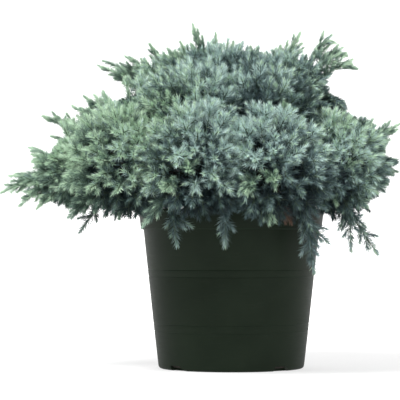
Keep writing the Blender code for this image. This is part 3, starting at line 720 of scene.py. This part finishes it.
def needles_on(foliage, line, tone, green, rng, leafing, bare=0.0, dead=False):
    """Whorls of needles along a line, from its share bare to its tip, more closed towards the tip and paler
    there, with painted shade that darkens them towards the foot. The tone is the tip's, and green is the
    share of needles in the greener tint."""
    points = np.array([tuple(point) for point in line])
    pieces = np.linalg.norm(np.diff(points, axis=0), axis=1)
    total = pieces.sum()
    along = np.concatenate([[0], np.cumsum(pieces)]) / total

    def on_line(shares):
        return np.stack([np.interp(shares, along, points[:, axis]) for axis in range(3)], axis=1)

    count = max(2, int(total * (1 - bare) / leafing.step))
    share = bare + (1 - bare) * (np.arange(count) + FIRST_WHORL) / count
    centres = on_line(share)
    ways = unit(on_line(share + LOOK_AHEAD) - centres + 1e-9)
    ways[share > 1 - LOOK_AHEAD] = unit(points[-1] - points[-2])
    helper = np.where(np.abs(ways[:, 2:3]) < NEAR_UPRIGHT, [[0, 0, 1]], [[1, 0, 0]])
    across = unit(np.cross(ways, helper))
    up = np.cross(ways, across)

    number = count * WHORL
    whorl = np.repeat(np.arange(count), WHORL)
    late, way = share[whorl], ways[whorl]
    turn = whorl * math.pi / WHORL + np.tile(np.arange(WHORL), count) * math.tau / WHORL
    turn = turn + rng.uniform(0, math.tau) + rng.normal(0, TURN_WANDER, number)
    radial = across[whorl] * np.cos(turn)[:, None] + up[whorl] * np.sin(turn)[:, None]
    closing = np.clip(1 - total * (1 - late) / CLOSING_LENGTH, 0, 1) ** CLOSING_POWER
    lean = (between(leafing.spread, closing) + rng.normal(0, LEAN_WANDER, number))[:, None]
    out = radial * np.sin(lean) + way * np.cos(lean)
    inner_side = way * np.sin(lean) - radial * np.cos(lean)
    young = np.minimum(1, (1 - late) * YOUNG_GROWTH + YOUNGEST_SHARE)
    reach = (between(leafing.length, closing) * young * rng.uniform(*LENGTH_UNEVEN, number))[:, None]
    half = leafing.width / 2 * rng.uniform(*WIDTH_UNEVEN, number)[:, None]
    foot = centres[whorl] + radial * NEEDLE_FOOT
    middle = foot + out * reach * NEEDLE_WIDEST + inner_side * NEEDLE_KEEL
    aside = np.cross(out, inner_side) * half
    tip = foot + out * reach + inner_side * reach * NEEDLE_CURVE
    block = np.stack([foot, middle + aside, middle - aside, tip], axis=1)

    beside = np.hypot(block[:, :, 0], block[:, :, 1]) < RIM_RADIUS + NEEDLE_MARGIN
    below = block[:, :, 2] < POT_HEIGHT + NEEDLE_MARGIN
    keep = ~(below & beside).any(axis=1)
    # Painted shade: needles are darker towards the shoot's foot.
    level = tone - (1 - late) * FOOT_SHADE + rng.normal(0, NEEDLE_TONE_WANDER, number)
    dark = np.clip(np.round(level), 0, TONES - 2).astype(int)
    greener = rng.random(number) < green + GREEN_ALONG * (late - 0.5)
    dark = dark + np.where(greener, 0, TONES)
    pale = dark + 1
    if dead:
        dark = np.full(number, 2 * TONES)
        pale = dark
    foliage.needles.append((block[keep], pale[keep], dark[keep]))


def line_with_bend(start, end, bend, steps=4):
    """Points from start to end of a shoot that leaves low and turns along the bend."""
    reach = end - start
    return [start + (reach - bend) * (i / steps) + bend * (i / steps) ** 2 for i in range(steps + 1)]


def point_on(line, share):
    """The point a share of the way along a line, and the line's way there."""
    steps = share * (len(line) - 1)
    low = min(int(steps), len(line) - 2)
    return line[low].lerp(line[low + 1], steps - low), (line[low + 1] - line[low]).normalized()


def tone_at(mass, point, way, rng):
    """How pale a spray's tip is painted, as a tone, with painted light and shade, and the share of its
    greener needles.
    """
    # Painted light: sprays that face the light's side are paler; the lobes add painted light where they stand
    # out and painted shade in the hollows, low sprays get painted shade, and each mass's own tone adds
    # painted light or shade.
    lit = 0.5 + 0.5 * way.dot(PAINTED_LIGHT_SIDE)
    low = max(0, SHADE_BELOW - point.z) / SHADE_DEPTH
    level = MIDDLE_TONE + LIT_TONE * lit**LIT_POWER + LOBE_PAINTED_SHADE * lobe(point) - low
    level += rng.normal(0, TONE_WANDER) + habit(mass).tone
    green = GREEN_SHARE + GREEN_ASIDE * abs(point.x - GREEN_MIDDLE)
    green += GREEN_UPWARD * max(0, point.z - GREEN_ABOVE)
    green += GREEN_PATCH * noise.noise(point * GREEN_PATCH_PITCH + GREEN_PATCH_AT)
    return level, min(GREEN_LIMITS[1], max(GREEN_LIMITS[0], green))


def spray(foliage, mass, made, rng):
    """One spray: a leafy shoot from inside the mass to the tip, with side shoots all round it."""
    foot = made.foot.lerp(mass.at, SPRAY_SINK)
    way = (made.tip - made.foot).normalized()
    length = (made.tip - foot).length
    bend = Vector((0, 0, mass.bend)) * (length / mass.size)
    line = line_with_bend(foot, made.tip, bend)
    tone, green = tone_at(mass, made.tip, way, rng)
    foliage.twigs.append((line, TWIG_RADIUS, SPRAY_TIP_RADIUS))
    bare = max(0.0, 1 - LEAFY_LENGTH / length)
    needles_on(foliage, line, tone, green, rng, PLUMP, bare)
    first_turn = rng.uniform(0, math.tau)
    for i in range(SIDE_SHOOTS):
        up_spray = i / (SIDE_SHOOTS - 1)
        share = bare + (1 - bare) * (SIDE_FIRST + SIDE_RANGE * up_spray)
        turn = first_turn + i * GOLDEN_TURN
        # Painted shade: the side shoots low on a spray are darker.
        side_tone = tone - LOW_SIDE_SHADE * (1 - up_spray)
        side_shoot(foliage, mass, line, share, turn, between(SIDE_LENGTH, up_spray), side_tone, green, rng)


def side_shoot(foliage, mass, line, share, turn, reach, tone, green, rng):
    """A leafy side shoot that leaves a line part way along, leaning forward and turning along it."""
    root, way = point_on(line, share)
    reach = reach * rng.uniform(*SIDE_UNEVEN)
    end = root + leaning(way, turn, SIDE_LEAN * rng.uniform(*SIDE_LEAN_UNEVEN)) * reach
    if in_open_sky(end) or not in_own_space(mass, end):
        return
    shoot = line_with_bend(root, end, way * reach * SIDE_CURL, SIDE_STEPS)
    foliage.twigs.append((shoot, SHOOT_RADIUS, SHOOT_TIP_RADIUS))
    needles_on(foliage, shoot, tone + rng.normal(0, SIDE_TONE_WANDER), green, rng, PLUMP, SIDE_BARE)


def frond(foliage, mass, made, rng, dead):
    """A long lead that ends in a leafy spindle. Its side shoots lie close to it and get longer towards
    its foot, where they branch again."""
    foot = made.foot.lerp(mass.at, SPRAY_SINK)
    reach = made.tip - foot
    length = reach.length
    bend = Vector((0, 0, mass.bend - habit(mass).droop)) * (length / mass.size)
    line = line_with_bend(foot, made.tip, bend, FROND_STEPS)
    tone, green = tone_at(mass, made.tip, reach.normalized(), rng)
    # A mass's lead tone adds painted light or shade to its leads.
    tone = min(PALEST_LEAD, max(tone + LEAD_PALER, LEAD_TONE) + habit(mass).lead_tone)
    green = max(green, LEAD_GREEN)
    foliage.twigs.append((line, TWIG_RADIUS, SHOOT_TIP_RADIUS))
    needles_on(foliage, line, tone, green, rng, SLIM, FROND_BARE, dead)
    last = 1 - SPINDLE_LENGTH / length
    count = int(length * (last - FROND_BARE) / FROND_STEP)
    turn = rng.uniform(0, math.tau)
    for i in range(count):
        share = between((FROND_BARE, last), (i + 1) / count)
        turn += GOLDEN_TURN
        grown = FROND_SIDE[0] + FROND_GROWTH * length * (last - share)
        side_reach = min(FROND_SIDE[1], grown) * rng.uniform(*FROND_UNEVEN) * habit(mass).width
        root, way = point_on(line, share)
        end = root + leaning(way, turn, FROND_LEAN * rng.uniform(*SIDE_UNEVEN)) * side_reach
        if in_open_sky(end) or not off_pot(end):
            continue
        shoot = line_with_bend(root, end, way * side_reach * SIDE_CURL, SIDE_STEPS)
        foliage.twigs.append((shoot, SHOOT_RADIUS, SHOOT_TIP_RADIUS))
        side_tone = tone + rng.normal(0, FROND_TONE_WANDER)
        needles_on(foliage, shoot, side_tone, green, rng, SLIM, FROND_SIDE_BARE, dead)
        if side_reach > BRANCHING_REACH:
            for k, at in enumerate(BRANCH_PLACES):
                branch_turn = turn + k * GOLDEN_TURN
                side_shoot(foliage, mass, shoot, at, branch_turn, BRANCH_REACH, tone, green, rng)


def hanging_shoot(foliage, mass, rng):
    """A hanging shoot with side shoots. The one at the right has a bare stretch above its tuft."""
    tip = mass.tips[0]
    way_in = mass_way_in(mass)
    way_out = (tip - mass.at).normalized()
    start = mass.at + way_in * CLEAR
    line = [start] + curve_through(start + way_in * HANGING_FIRST, way_in, tip, way_out, 5)
    tone, green = tone_at(mass, tip, way_out, rng)
    # A mass's lead tone adds painted light or shade to its hanging shoots.
    tone = max(tone, LEAD_TONE) + habit(mass).lead_tone
    lines = [(line, habit(mass).bare)]
    along = (line[2] - line[1]).normalized()
    for end in mass.tips[1:]:
        branch = curve_through(line[1], along, end, (end - line[1]).normalized(), 4)
        lines.append((branch, HANGING_BRANCH_BARE))
    for path, bare in lines:
        length = sum((b - a).length for a, b in zip(path[:-1], path[1:]))
        foliage.twigs.append((path, HANGING_RADIUS, SHOOT_TIP_RADIUS))
        needles_on(foliage, path, tone, green, rng, HANGING, bare)
        leafy = length * (1 - bare) - SPINDLE_LENGTH
        count = max(0, int(leafy / HANGING_STEP))
        for i in range(count):
            share = bare + leafy / length * (i + 0.5) / count
            grown = HANGING_SIDE[0] + HANGING_GROWTH * (leafy - length * (share - bare))
            reach = min(HANGING_SIDE[1], grown)
            side_shoot(foliage, mass, path, share, i * GOLDEN_TURN, reach, tone, green, rng)


def tube_arrays(points, radii, sides, relief=None):
    """Points and triangles of a closed tube. The relief, if any, gives each point's radius factor."""
    across, _ = square_to((points[1] - points[0]).normalized())
    rows, faces = [], []
    last = (len(points) - 1) * sides
    for i, (centre, radius) in enumerate(zip(points, radii)):
        way = (points[min(i + 1, len(points) - 1)] - points[max(i - 1, 0)]).normalized()
        across = (across - way * across.dot(way)).normalized()
        up = way.cross(across)
        for k in range(sides):
            turn = k * math.tau / sides
            side = across * math.cos(turn) + up * math.sin(turn)
            factor = relief(centre, side, radius) if relief else 1
            rows.append(tuple(centre + side * radius * factor))
    rows += [tuple(points[0]), tuple(points[-1])]
    for k in range(sides):
        after = (k + 1) % sides
        for a in range(0, last, sides):
            b = a + sides
            faces += [(a + k, a + after, b + after), (a + k, b + after, b + k)]
        faces += [(last + sides, after, k), (last + sides + 1, last + k, last + after)]
    return np.array(rows), np.array(faces)


def bark_relief(centre, side, radius):
    """Long shallow furrows and thin flaking plates."""
    spot = centre + side * radius
    furrow = abs(noise.noise(Vector((spot.x, spot.y, spot.z * BARK_STRETCH)) * FURROW_PITCH))
    plate = noise.noise(spot * PLATE_PITCH + Vector((3, 1, 7)))
    return BARK_LOW + FURROW_DEPTH * furrow + PLATE_DEPTH * plate


def resample(points, radii, step):
    """The same limb with a ring every step along it."""
    line, sizes = [], []
    for i in range(len(points) - 1):
        count = max(1, round((points[i + 1] - points[i]).length / step))
        for k in range(count):
            line.append(points[i].lerp(points[i + 1], k / count))
            sizes.append(between(radii[i:i + 2], k / count))
    return line + [points[-1]], sizes + [radii[-1]]


def limb_arrays(points, radii, step, sides):
    """A limb with rounded corners and the bark's relief."""
    line, sizes = resample(points, radii, step)
    for _ in range(3):
        inner = [(line[i - 1] + line[i] * 2 + line[i + 1]) / 4 for i in range(1, len(line) - 1)]
        line = [line[0]] + inner + [line[-1]]
    return tube_arrays(line, sizes, sides, bark_relief)


def build_bark(lines, look):
    """The trunk with its collars and the boughs, with the bark's relief."""
    points, radii = [], []
    for i in range(TRUNK_RINGS):
        height = between((SOIL_TOP - TRUNK_SINK, TRUNK_TOP), i / (TRUNK_RINGS - 1))
        level = max(height, SOIL_TOP)
        centre = trunk_line(level)
        points.append(Vector((centre.x, centre.y, height)))
        radii.append(trunk_radius(level))
    trunk = [tube_arrays(points, radii, TRUNK_SIDES, bark_relief)]
    boughs = []
    for mass in MASSES:
        if isinstance(mass.carrier, float):
            collar = [trunk_line(mass.carrier), collar_end(mass)]
            collar_radii = [COLLAR_RADIUS, BOUGH_ROOT_RADIUS]
            trunk.append(limb_arrays(collar, collar_radii, COLLAR_RING_STEP, COLLAR_SIDES))
        line = lines[mass.name]
        if hangs(mass):
            radii = bough_radii(BOUGH_TIP_RADIUS, BOUGH_TIP_RADIUS * HANGING_TAPER, len(line))
        else:
            radii = bough_radii(BOUGH_ROOT_RADIUS, BOUGH_TIP_RADIUS, len(line))
        boughs.append(limb_arrays(line, radii, BOUGH_RING_STEP, BOUGH_SIDES))
    bark = joined_mesh("trunk_bark", trunk, look, smooth=True)
    return bark, joined_mesh("bough_bark", boughs, look, smooth=True)


def inner_twigs(mass, sprays):
    """The stem that goes on from the bough's tip, and the twigs that leave it, at a few places in turn,
    for the feet of the sprays."""
    root = bough_tip(mass) + mass_way_in(mass) * CLEAR
    at = mass.at
    paths = [([root, root.lerp(at, 0.5), at], BOUGH_TIP_RADIUS, TWIG_RADIUS)]
    for i, each in enumerate(sprays):
        start = root.lerp(at, between((STEM_FROM, 1), i * STEM_STRIDE % STEM_PLACES / STEM_PLACES))
        foot = each.foot.lerp(at, SPRAY_SINK)
        way = (foot - start).normalized()
        leaving = (way + mass_way_in(mass) * STEM_TURN).normalized()
        paths.append((curve_through(start, leaving, foot, way, 3), TWIG_ROOT_RADIUS, TWIG_RADIUS))
    return paths


def build_crown(lines, needle_looks, twig_look, shoot_look):
    """All needles and twigs, joined into a few pieces."""
    limb_points = points_on_limbs(lines)
    by_name = {mass.name: (number, mass) for number, mass in enumerate(MASSES)}
    pieces, wood, leafy = [], [], []
    for piece_name, names in CROWN_PIECES.items():
        foliage = Foliage([], [])
        for name in names:
            number, mass = by_name[name]
            fine = np.random.default_rng(100 + number)
            if hangs(mass):
                hanging_shoot(foliage, mass, fine)
                continue
            rng = random.Random(number)
            core = core_mesh(mass, limb_points, rng)
            sprays = sprays_of(mass, core, rng)
            shade_shoots(foliage, mass, core, fine)
            core.free()
            wood += inner_twigs(mass, sprays)
            for order, each in enumerate(sprays):
                if each.lead:
                    frond(foliage, mass, each, fine, (name, order) == DEAD_TIP)
                else:
                    spray(foliage, mass, each, fine)
        pieces.append((needle_mesh(piece_name, foliage.needles, needle_looks), names))
        leafy += foliage.twigs
    twigs = joined_mesh("twigs", [twig_arrays(*path, 4) for path in wood], twig_look)
    shoots = joined_mesh("shoots", [twig_arrays(*thinned(*path), 3) for path in leafy], shoot_look)
    return pieces, twigs, shoots


def thinned(line, root, tip):
    """A leafy shoot's line at three of its points, enough under its needles."""
    return [line[0], line[len(line) // 2], line[-1]], root, tip


def twig_arrays(line, root, tip, sides):
    return tube_arrays(line, bough_radii(root, tip, len(line)), sides)


class Look:
    """A material and its nodes, which all take their place from the object's own space."""

    def __init__(self, name):
        self.material = bpy.data.materials.new(name)
        self.material.use_nodes = True
        self.tree = self.material.node_tree
        self.place = self.add("ShaderNodeTexCoord").outputs["Object"]

    def add(self, kind, inputs=None):
        node = self.tree.nodes.new(kind)
        self.set(node, inputs or {})
        return node

    def set(self, node, inputs):
        """Sets a node's inputs to numbers and colours, or links them to another node's output."""
        for name, value in inputs.items():
            if isinstance(value, bpy.types.NodeSocket):
                self.tree.links.new(value, node.inputs[name])
            else:
                node.inputs[name].default_value = value

    def surface(self, inputs):
        self.set(self.tree.nodes["Principled BSDF"], inputs)
        return self.material

    def noise(self, scale, detail, at=None):
        inputs = {"Vector": at or self.place, "Scale": scale, "Detail": detail}
        return self.add("ShaderNodeTexNoise", inputs).outputs["Fac"]

    def ramp(self, share, first, last):
        """Colours between two stops, each a position and a colour."""
        node = self.add("ShaderNodeValToRGB", {"Fac": share})
        for element, (position, colour) in zip(node.color_ramp.elements, (first, last)):
            element.position = position
            element.color = (*colour, 1)
        return node.outputs["Color"]

    def range(self, value, low, high, start=0, end=1):
        """A number that runs from low to high while the value runs from start to end."""
        inputs = {"Value": value, "From Min": start, "From Max": end, "To Min": low, "To Max": high}
        return self.add("ShaderNodeMapRange", inputs).outputs["Result"]

    def bump(self, height, strength, distance):
        inputs = {"Height": height, "Strength": strength, "Distance": distance}
        return self.add("ShaderNodeBump", inputs).outputs["Normal"]


def node_material(name, colour, variation, scale, roughness, bump):
    """A material whose colour, roughness and bump wander with noise."""
    look = Look(name)
    grain = look.noise(scale, 4)
    dark = [c * (1 - variation) for c in colour]
    pale = [min(1, c * (1 + variation)) for c in colour]
    return look.surface({
        "Base Color": look.ramp(grain, (0.30, dark), (0.70, pale)),
        "Roughness": look.range(grain, *roughness),
        "Normal": look.bump(grain, bump, 0.0004),
    })


def needle_materials():
    """One look for each tone in each tint, and one for dead needles. The tones are lit and shaded copies of
    each tint: painted light and shade.
    """
    looks = []
    for name, tint in (("green", GREEN_TINT), ("blue", BLUE_TINT)):
        for level in range(TONES):
            share = (level / (TONES - 1)) ** TONE_CURVE
            ends = zip(tint, SHADE_NEEDLE, PALE_NEEDLE)
            colour = [part * dark * (pale / dark) ** share for part, dark, pale in ends]
            looks.append(node_material(f"needle_{name}_{level}", colour, 0.14, 420, (0.48, 0.66), 0.2))
    looks.append(node_material("needle_dead", DEAD_NEEDLE, 0.25, 420, (0.6, 0.8), 0.2))
    return looks


def pot_material():
    """Dark green moulded plastic: soft mottling, and level streaks of dust that are rougher."""
    look = Look("pot_plastic")
    mottled = look.ramp(look.noise(22, 5), (0.28, (0.0080, 0.0140, 0.0078)), (0.74, (0.0115, 0.0190, 0.0110)))
    stretched = look.add("ShaderNodeMapping", {"Vector": look.place, "Scale": (1, 1, 9)})
    streaks = look.noise(60, 6, stretched.outputs["Vector"])
    dusty = look.add("ShaderNodeMix")
    dusty.data_type = "RGBA"
    look.set(dusty, {
        "Factor": look.range(streaks, 0, 0.35, 0.55, 0.85),
        "A": mottled,
        "B": (0.022, 0.027, 0.020, 1),
    })
    return look.surface({
        "Base Color": dusty.outputs["Result"],
        "Roughness": look.range(streaks, 0.42, 0.60),
        "Specular IOR Level": 0.08,
        "Normal": look.bump(look.noise(700, 2), 0.10, 0.0003),
    })


def pot_outline():
    """The pot's turned profile, from the middle of its floor over the rim to the middle of its base."""
    lip = LIP_ROUNDING
    turned = INNER_ROUNDING
    inner_foot = wall_radius(FLOOR) - WALL - turned
    profile = [(0, FLOOR)] + arc((inner_foot, FLOOR + turned), turned, -90, 0, 5)
    inner_top = RIM_RADIUS - RIM_BAND_PROUD - WALL
    slack = 0.0002
    profile.append((inner_top - slack, POT_HEIGHT - lip - slack))
    profile += arc((inner_top + lip, POT_HEIGHT - lip), lip, 180, 90, 5)
    profile += arc((RIM_RADIUS - lip, POT_HEIGHT - lip), lip, 90, 0, 5)
    band_foot = POT_HEIGHT - RIM_BAND_HEIGHT
    profile += arc((wall_radius(band_foot) + RIM_BAND_PROUD - lip, band_foot + lip), lip, 0, -90, 4)
    bevel = 0.0006
    profile.append((wall_radius(band_foot) + bevel, band_foot))
    profile.append((wall_radius(band_foot - bevel), band_foot - bevel))
    steps = 8
    for height in GROOVE_HEIGHTS:
        for i in range(steps + 1):
            at = height + GROOVE_WIDTH * (0.5 - i / steps)
            dip = GROOVE_DEPTH * math.sin(math.pi * i / steps) ** 2
            profile.append((wall_radius(at) - dip, at))
    profile += arc((wall_radius(0) - BASE_ROUNDING, BASE_ROUNDING), BASE_ROUNDING, 0, -90, 7)
    profile.append((0, 0))
    return profile


def arc(centre, radius, first, last, count):
    """Points on an arc between two angles in degrees."""
    points = []
    for i in range(count):
        turn = math.radians(between((first, last), i / (count - 1)))
        points.append((centre[0] + radius * math.cos(turn), centre[1] + radius * math.sin(turn)))
    return points


def build_pot(look):
    """The pot in fine rings, with the foot slots cut in its lower edge."""
    mesh = bpy.data.meshes.new("pot_body")
    points = [(radius, 0, height) for radius, height in pot_outline()]
    mesh.from_pydata(points, [(i, i + 1) for i in range(len(points) - 1)], [])
    mesh.materials.append(look)
    pot = place("pot_body", mesh)
    screw = pot.modifiers.new("Turn", "SCREW")
    screw.steps = POT_SIDES
    screw.render_steps = POT_SIDES
    screw.use_merge_vertices = True
    screw.merge_threshold = 0.00001
    cutters = []
    for slot in range(SLOT_COUNT):
        cutters.append(slot_cutter(SLOT_FIRST_TURN + slot * math.tau / SLOT_COUNT))
        cut = pot.modifiers.new(f"Slot {slot}", "BOOLEAN")
        cut.object = cutters[-1]
        cut.operation = "DIFFERENCE"
    graph = bpy.context.evaluated_depsgraph_get()
    final = bpy.data.meshes.new_from_object(pot.evaluated_get(graph))
    pot.modifiers.clear()
    pot.data = final
    for cutter in cutters:
        bpy.data.objects.remove(cutter)
    final.shade_smooth()
    final.set_sharp_from_angle(angle=SHARP_TURN)
    return pot


def slot_cutter(turn):
    """The block that one slot is cut with, through the foot of the wall."""
    bpy.ops.mesh.primitive_cube_add(size=1)
    cutter = bpy.context.active_object
    depth, inward, below = 0.012, 0.2, 0.002
    for vertex in cutter.data.vertices:
        along, across, up = vertex.co
        side = SLOT_WIDTH * across
        if across > 0 and up < 0:
            side += SLOT_SLOPE_RUN
        vertex.co = (BASE_RADIUS + depth * (along - inward), side, -below if up < 0 else SLOT_HEIGHT)
    cutter.rotation_euler.z = turn - math.pi / 2
    return cutter


def mix_height(share):
    """The mix's height at a share of the way from the middle to its edge, where it falls to the wall."""
    return SOIL_TOP - MIX_EDGE_FALL * share**4 - MIX_FALL * share


def ring_points(radius, sides):
    turns = [k * math.tau / sides for k in range(sides)]
    return [(radius * math.cos(turn), radius * math.sin(turn)) for turn in turns]


def build_mix(look):
    """The potting mix: a lumpy surface, and its plain underside in the pot."""
    rings, sides = 46, 110
    edge = wall_radius(SOIL_TOP - MIX_EDGE_FALL) - WALL - MIX_CLEAR
    rows = []
    for ring in range(rings + 1):
        height = mix_height(ring / rings)
        for x, y in ring_points(edge * ring / rings, sides):
            lump = noise.noise(Vector((x, y, 0)) * LUMP_PITCH) * LUMP_HEIGHT
            crumb = noise.noise(Vector((x, y, 5)) * CRUMB_PITCH) * CRUMB_HEIGHT
            rows.append((x, y, height + (lump + crumb if ring < rings else 0)))
    floor = FLOOR + CLEAR
    foot = wall_radius(floor) - WALL - MIX_CLEAR - MIX_FOOT_IN
    rows += [(x, y, floor) for x, y in ring_points(foot, sides)]
    rows.append((0, 0, floor))
    last = (rings + 1) * sides
    faces = []
    for a in range(0, last, sides):
        b = a + sides
        for k in range(sides):
            after = (k + 1) % sides
            faces += [(a + k, b + k, b + after), (a + k, b + after, a + after)]
    faces += [(len(rows) - 1, last + (k + 1) % sides, last + k) for k in range(sides)]
    return mesh_object("potting_mix_surface", np.array(rows), np.array(faces), [look], smooth=True)


def build_chips(look):
    """Flat uneven chips of bark lying on the mix."""
    rng = np.random.default_rng(7)
    cube = np.array([(x, y, z) for x in (-1, 1) for y in (-1, 1) for z in (-1, 1)], float)
    quads = [(0, 1, 3, 2), (4, 6, 7, 5), (0, 4, 5, 1), (2, 3, 7, 6), (0, 2, 6, 4), (1, 5, 7, 3)]
    faces = np.array([face for a, b, c, d in quads for face in ((a, b, c), (a, c, d))])
    blocks = []
    for _ in range(CHIP_COUNT):
        out = CHIP_REACH * math.sqrt(rng.random())
        turn = rng.uniform(0, math.tau)
        size = np.array([rng.uniform(*limits) for limits in CHIP_SIZES])
        body = cube * size * rng.uniform(*CHIP_UNEVEN, (8, 3))
        spin, tilt = rng.uniform(0, math.tau), rng.normal(0, CHIP_TILT)
        c, s = math.cos(spin), math.sin(spin)
        body = body @ np.array([[1, 0, tilt], [0, 1, 0], [-tilt, 0, 1]])
        body = body @ np.array([[c, s, 0], [-s, c, 0], [0, 0, 1]])
        height = mix_height(out / CHIP_FALL_REACH) + CHIP_LIFT
        blocks.append((body + (out * math.cos(turn), out * math.sin(turn), height), faces))
    return joined_mesh("bark_chips", blocks, look)


def build_stage():
    """A pale floor with painted shade that darkens it under the plant, curving up into a white backdrop."""
    reach, curve_from, curve, top = 14.0, 3.0, 2.0, 8.0
    turns = np.linspace(0, math.pi / 2, 12)
    rising = [(curve_from + curve * math.sin(a), curve * (1 - math.cos(a))) for a in turns]
    profile = [(-reach, 0), (0, 0), *rising, (curve_from + curve, top)]
    rows = [(x, y, z) for y, z in profile for x in (-reach, reach)]
    faces = [(2 * i, 2 * i + 1, 2 * i + 3, 2 * i + 2) for i in range(len(profile) - 1)]
    floor = mesh_object("backdrop", rows, faces, [stage_material()], smooth=True)


def stage_material():
    look = Look("backdrop")
    distance = look.add("ShaderNodeVectorMath")
    distance.operation = "LENGTH"
    look.set(distance, {"Vector": look.place})
    far = look.add("ShaderNodeMapRange", {"From Min": 0.25, "From Max": 1.6})
    far.interpolation_type = "SMOOTHSTEP"
    look.set(far, {"Value": distance.outputs["Value"]})
    # Painted shade: the floor's colour darkens towards the plant.
    return look.surface({
        "Base Color": look.ramp(far.outputs["Result"], (0, (0.34, 0.34, 0.34)), (1, (0.88, 0.88, 0.88))),
        "Roughness": 0.9,
        "Specular IOR Level": 0.1,
        "Emission Color": (1, 1, 1, 1),
        "Emission Strength": 0.62,
    })


def area_light(name, at, size, power):
    """A round light that shines at the middle of the part."""
    light = bpy.data.lights.new(name, "AREA")
    light.shape = "DISK"
    light.size = size
    light.energy = power
    lamp = place(name, light)
    lamp.location = at
    target = Vector((0, 0, 0.22))
    lamp.rotation_euler = (target - Vector(at)).to_track_quat("-Z", "Y").to_euler()


def build_lights():
    world = bpy.data.worlds.new("soft_white")
    bpy.context.scene.world = world
    world.use_nodes = True
    sky = world.node_tree.nodes["Background"]
    sky.inputs["Color"].default_value = (1, 1, 1, 1)
    sky.inputs["Strength"].default_value = 0.68
    area_light("key", (-1.3, -1.6, 2.9), 1.1, 145)
    area_light("fill", (2.4, -1.6, 1.4), 1.6, 20)
    bpy.context.scene.view_settings.view_transform = "Standard"


def build_camera():
    """The photograph's level view of the pot and its crown."""
    camera = bpy.data.cameras.new("camera")
    camera.sensor_width = SENSOR_WIDTH
    camera.lens = SENSOR_WIDTH * VIEW_DISTANCE / VIEW_WIDTH
    camera.shift_y = VIEW_SHIFT
    holder = place("camera", camera)
    holder.location = VIEW_AT
    holder.rotation_euler = (math.radians(90), 0, 0)
    bpy.context.scene.camera = holder


def main():
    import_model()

    build_stage()
    build_lights()
    build_camera()

    bark = node_material("bark", (0.052, 0.038, 0.029), 0.45, 900, (0.78, 0.95), 0.8)
    # The inner twigs' bark is darker than the trunk's: painted shade inside the crown.
    twig_bark_painted_shade = node_material("twig_bark_painted_shade", (0.024, 0.022, 0.016), 0.4, 700, (0.78, 0.95), 0.6)
    green_bark = node_material("young_shoot", (0.085, 0.125, 0.080), 0.35, 500, (0.6, 0.8), 0.4)
    mix_look = node_material("potting_mix", (0.022, 0.017, 0.013), 0.6, 700, (0.9, 1.0), 1.0)
    chip_look = node_material("bark_chip", (0.115, 0.062, 0.036), 0.5, 500, (0.8, 0.95), 0.8)

    pot = build_pot(pot_material())
    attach(pot, "root")
    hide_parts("pot")
    mix = build_mix(mix_look)
    chips = build_chips(chip_look)
    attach(mix, "root")
    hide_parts("potting_mix")
    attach(chips, "root")

    lines = {}
    for mass in MASSES:
        lines[mass.name] = bough_points(mass, lines)
    trunk, limbs = build_bark(lines, bark)
    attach(trunk, "root")
    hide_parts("trunk")
    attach(limbs, "root")
    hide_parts(*[f"bough_{mass.name}" for mass in MASSES])

    pieces, twigs, shoots = build_crown(lines, needle_materials(), twig_bark_painted_shade, green_bark)
    for piece, names in pieces:
        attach(piece, "root")
        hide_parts(*names)
    for piece in (twigs, shoots):
        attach(piece, "root")


main()
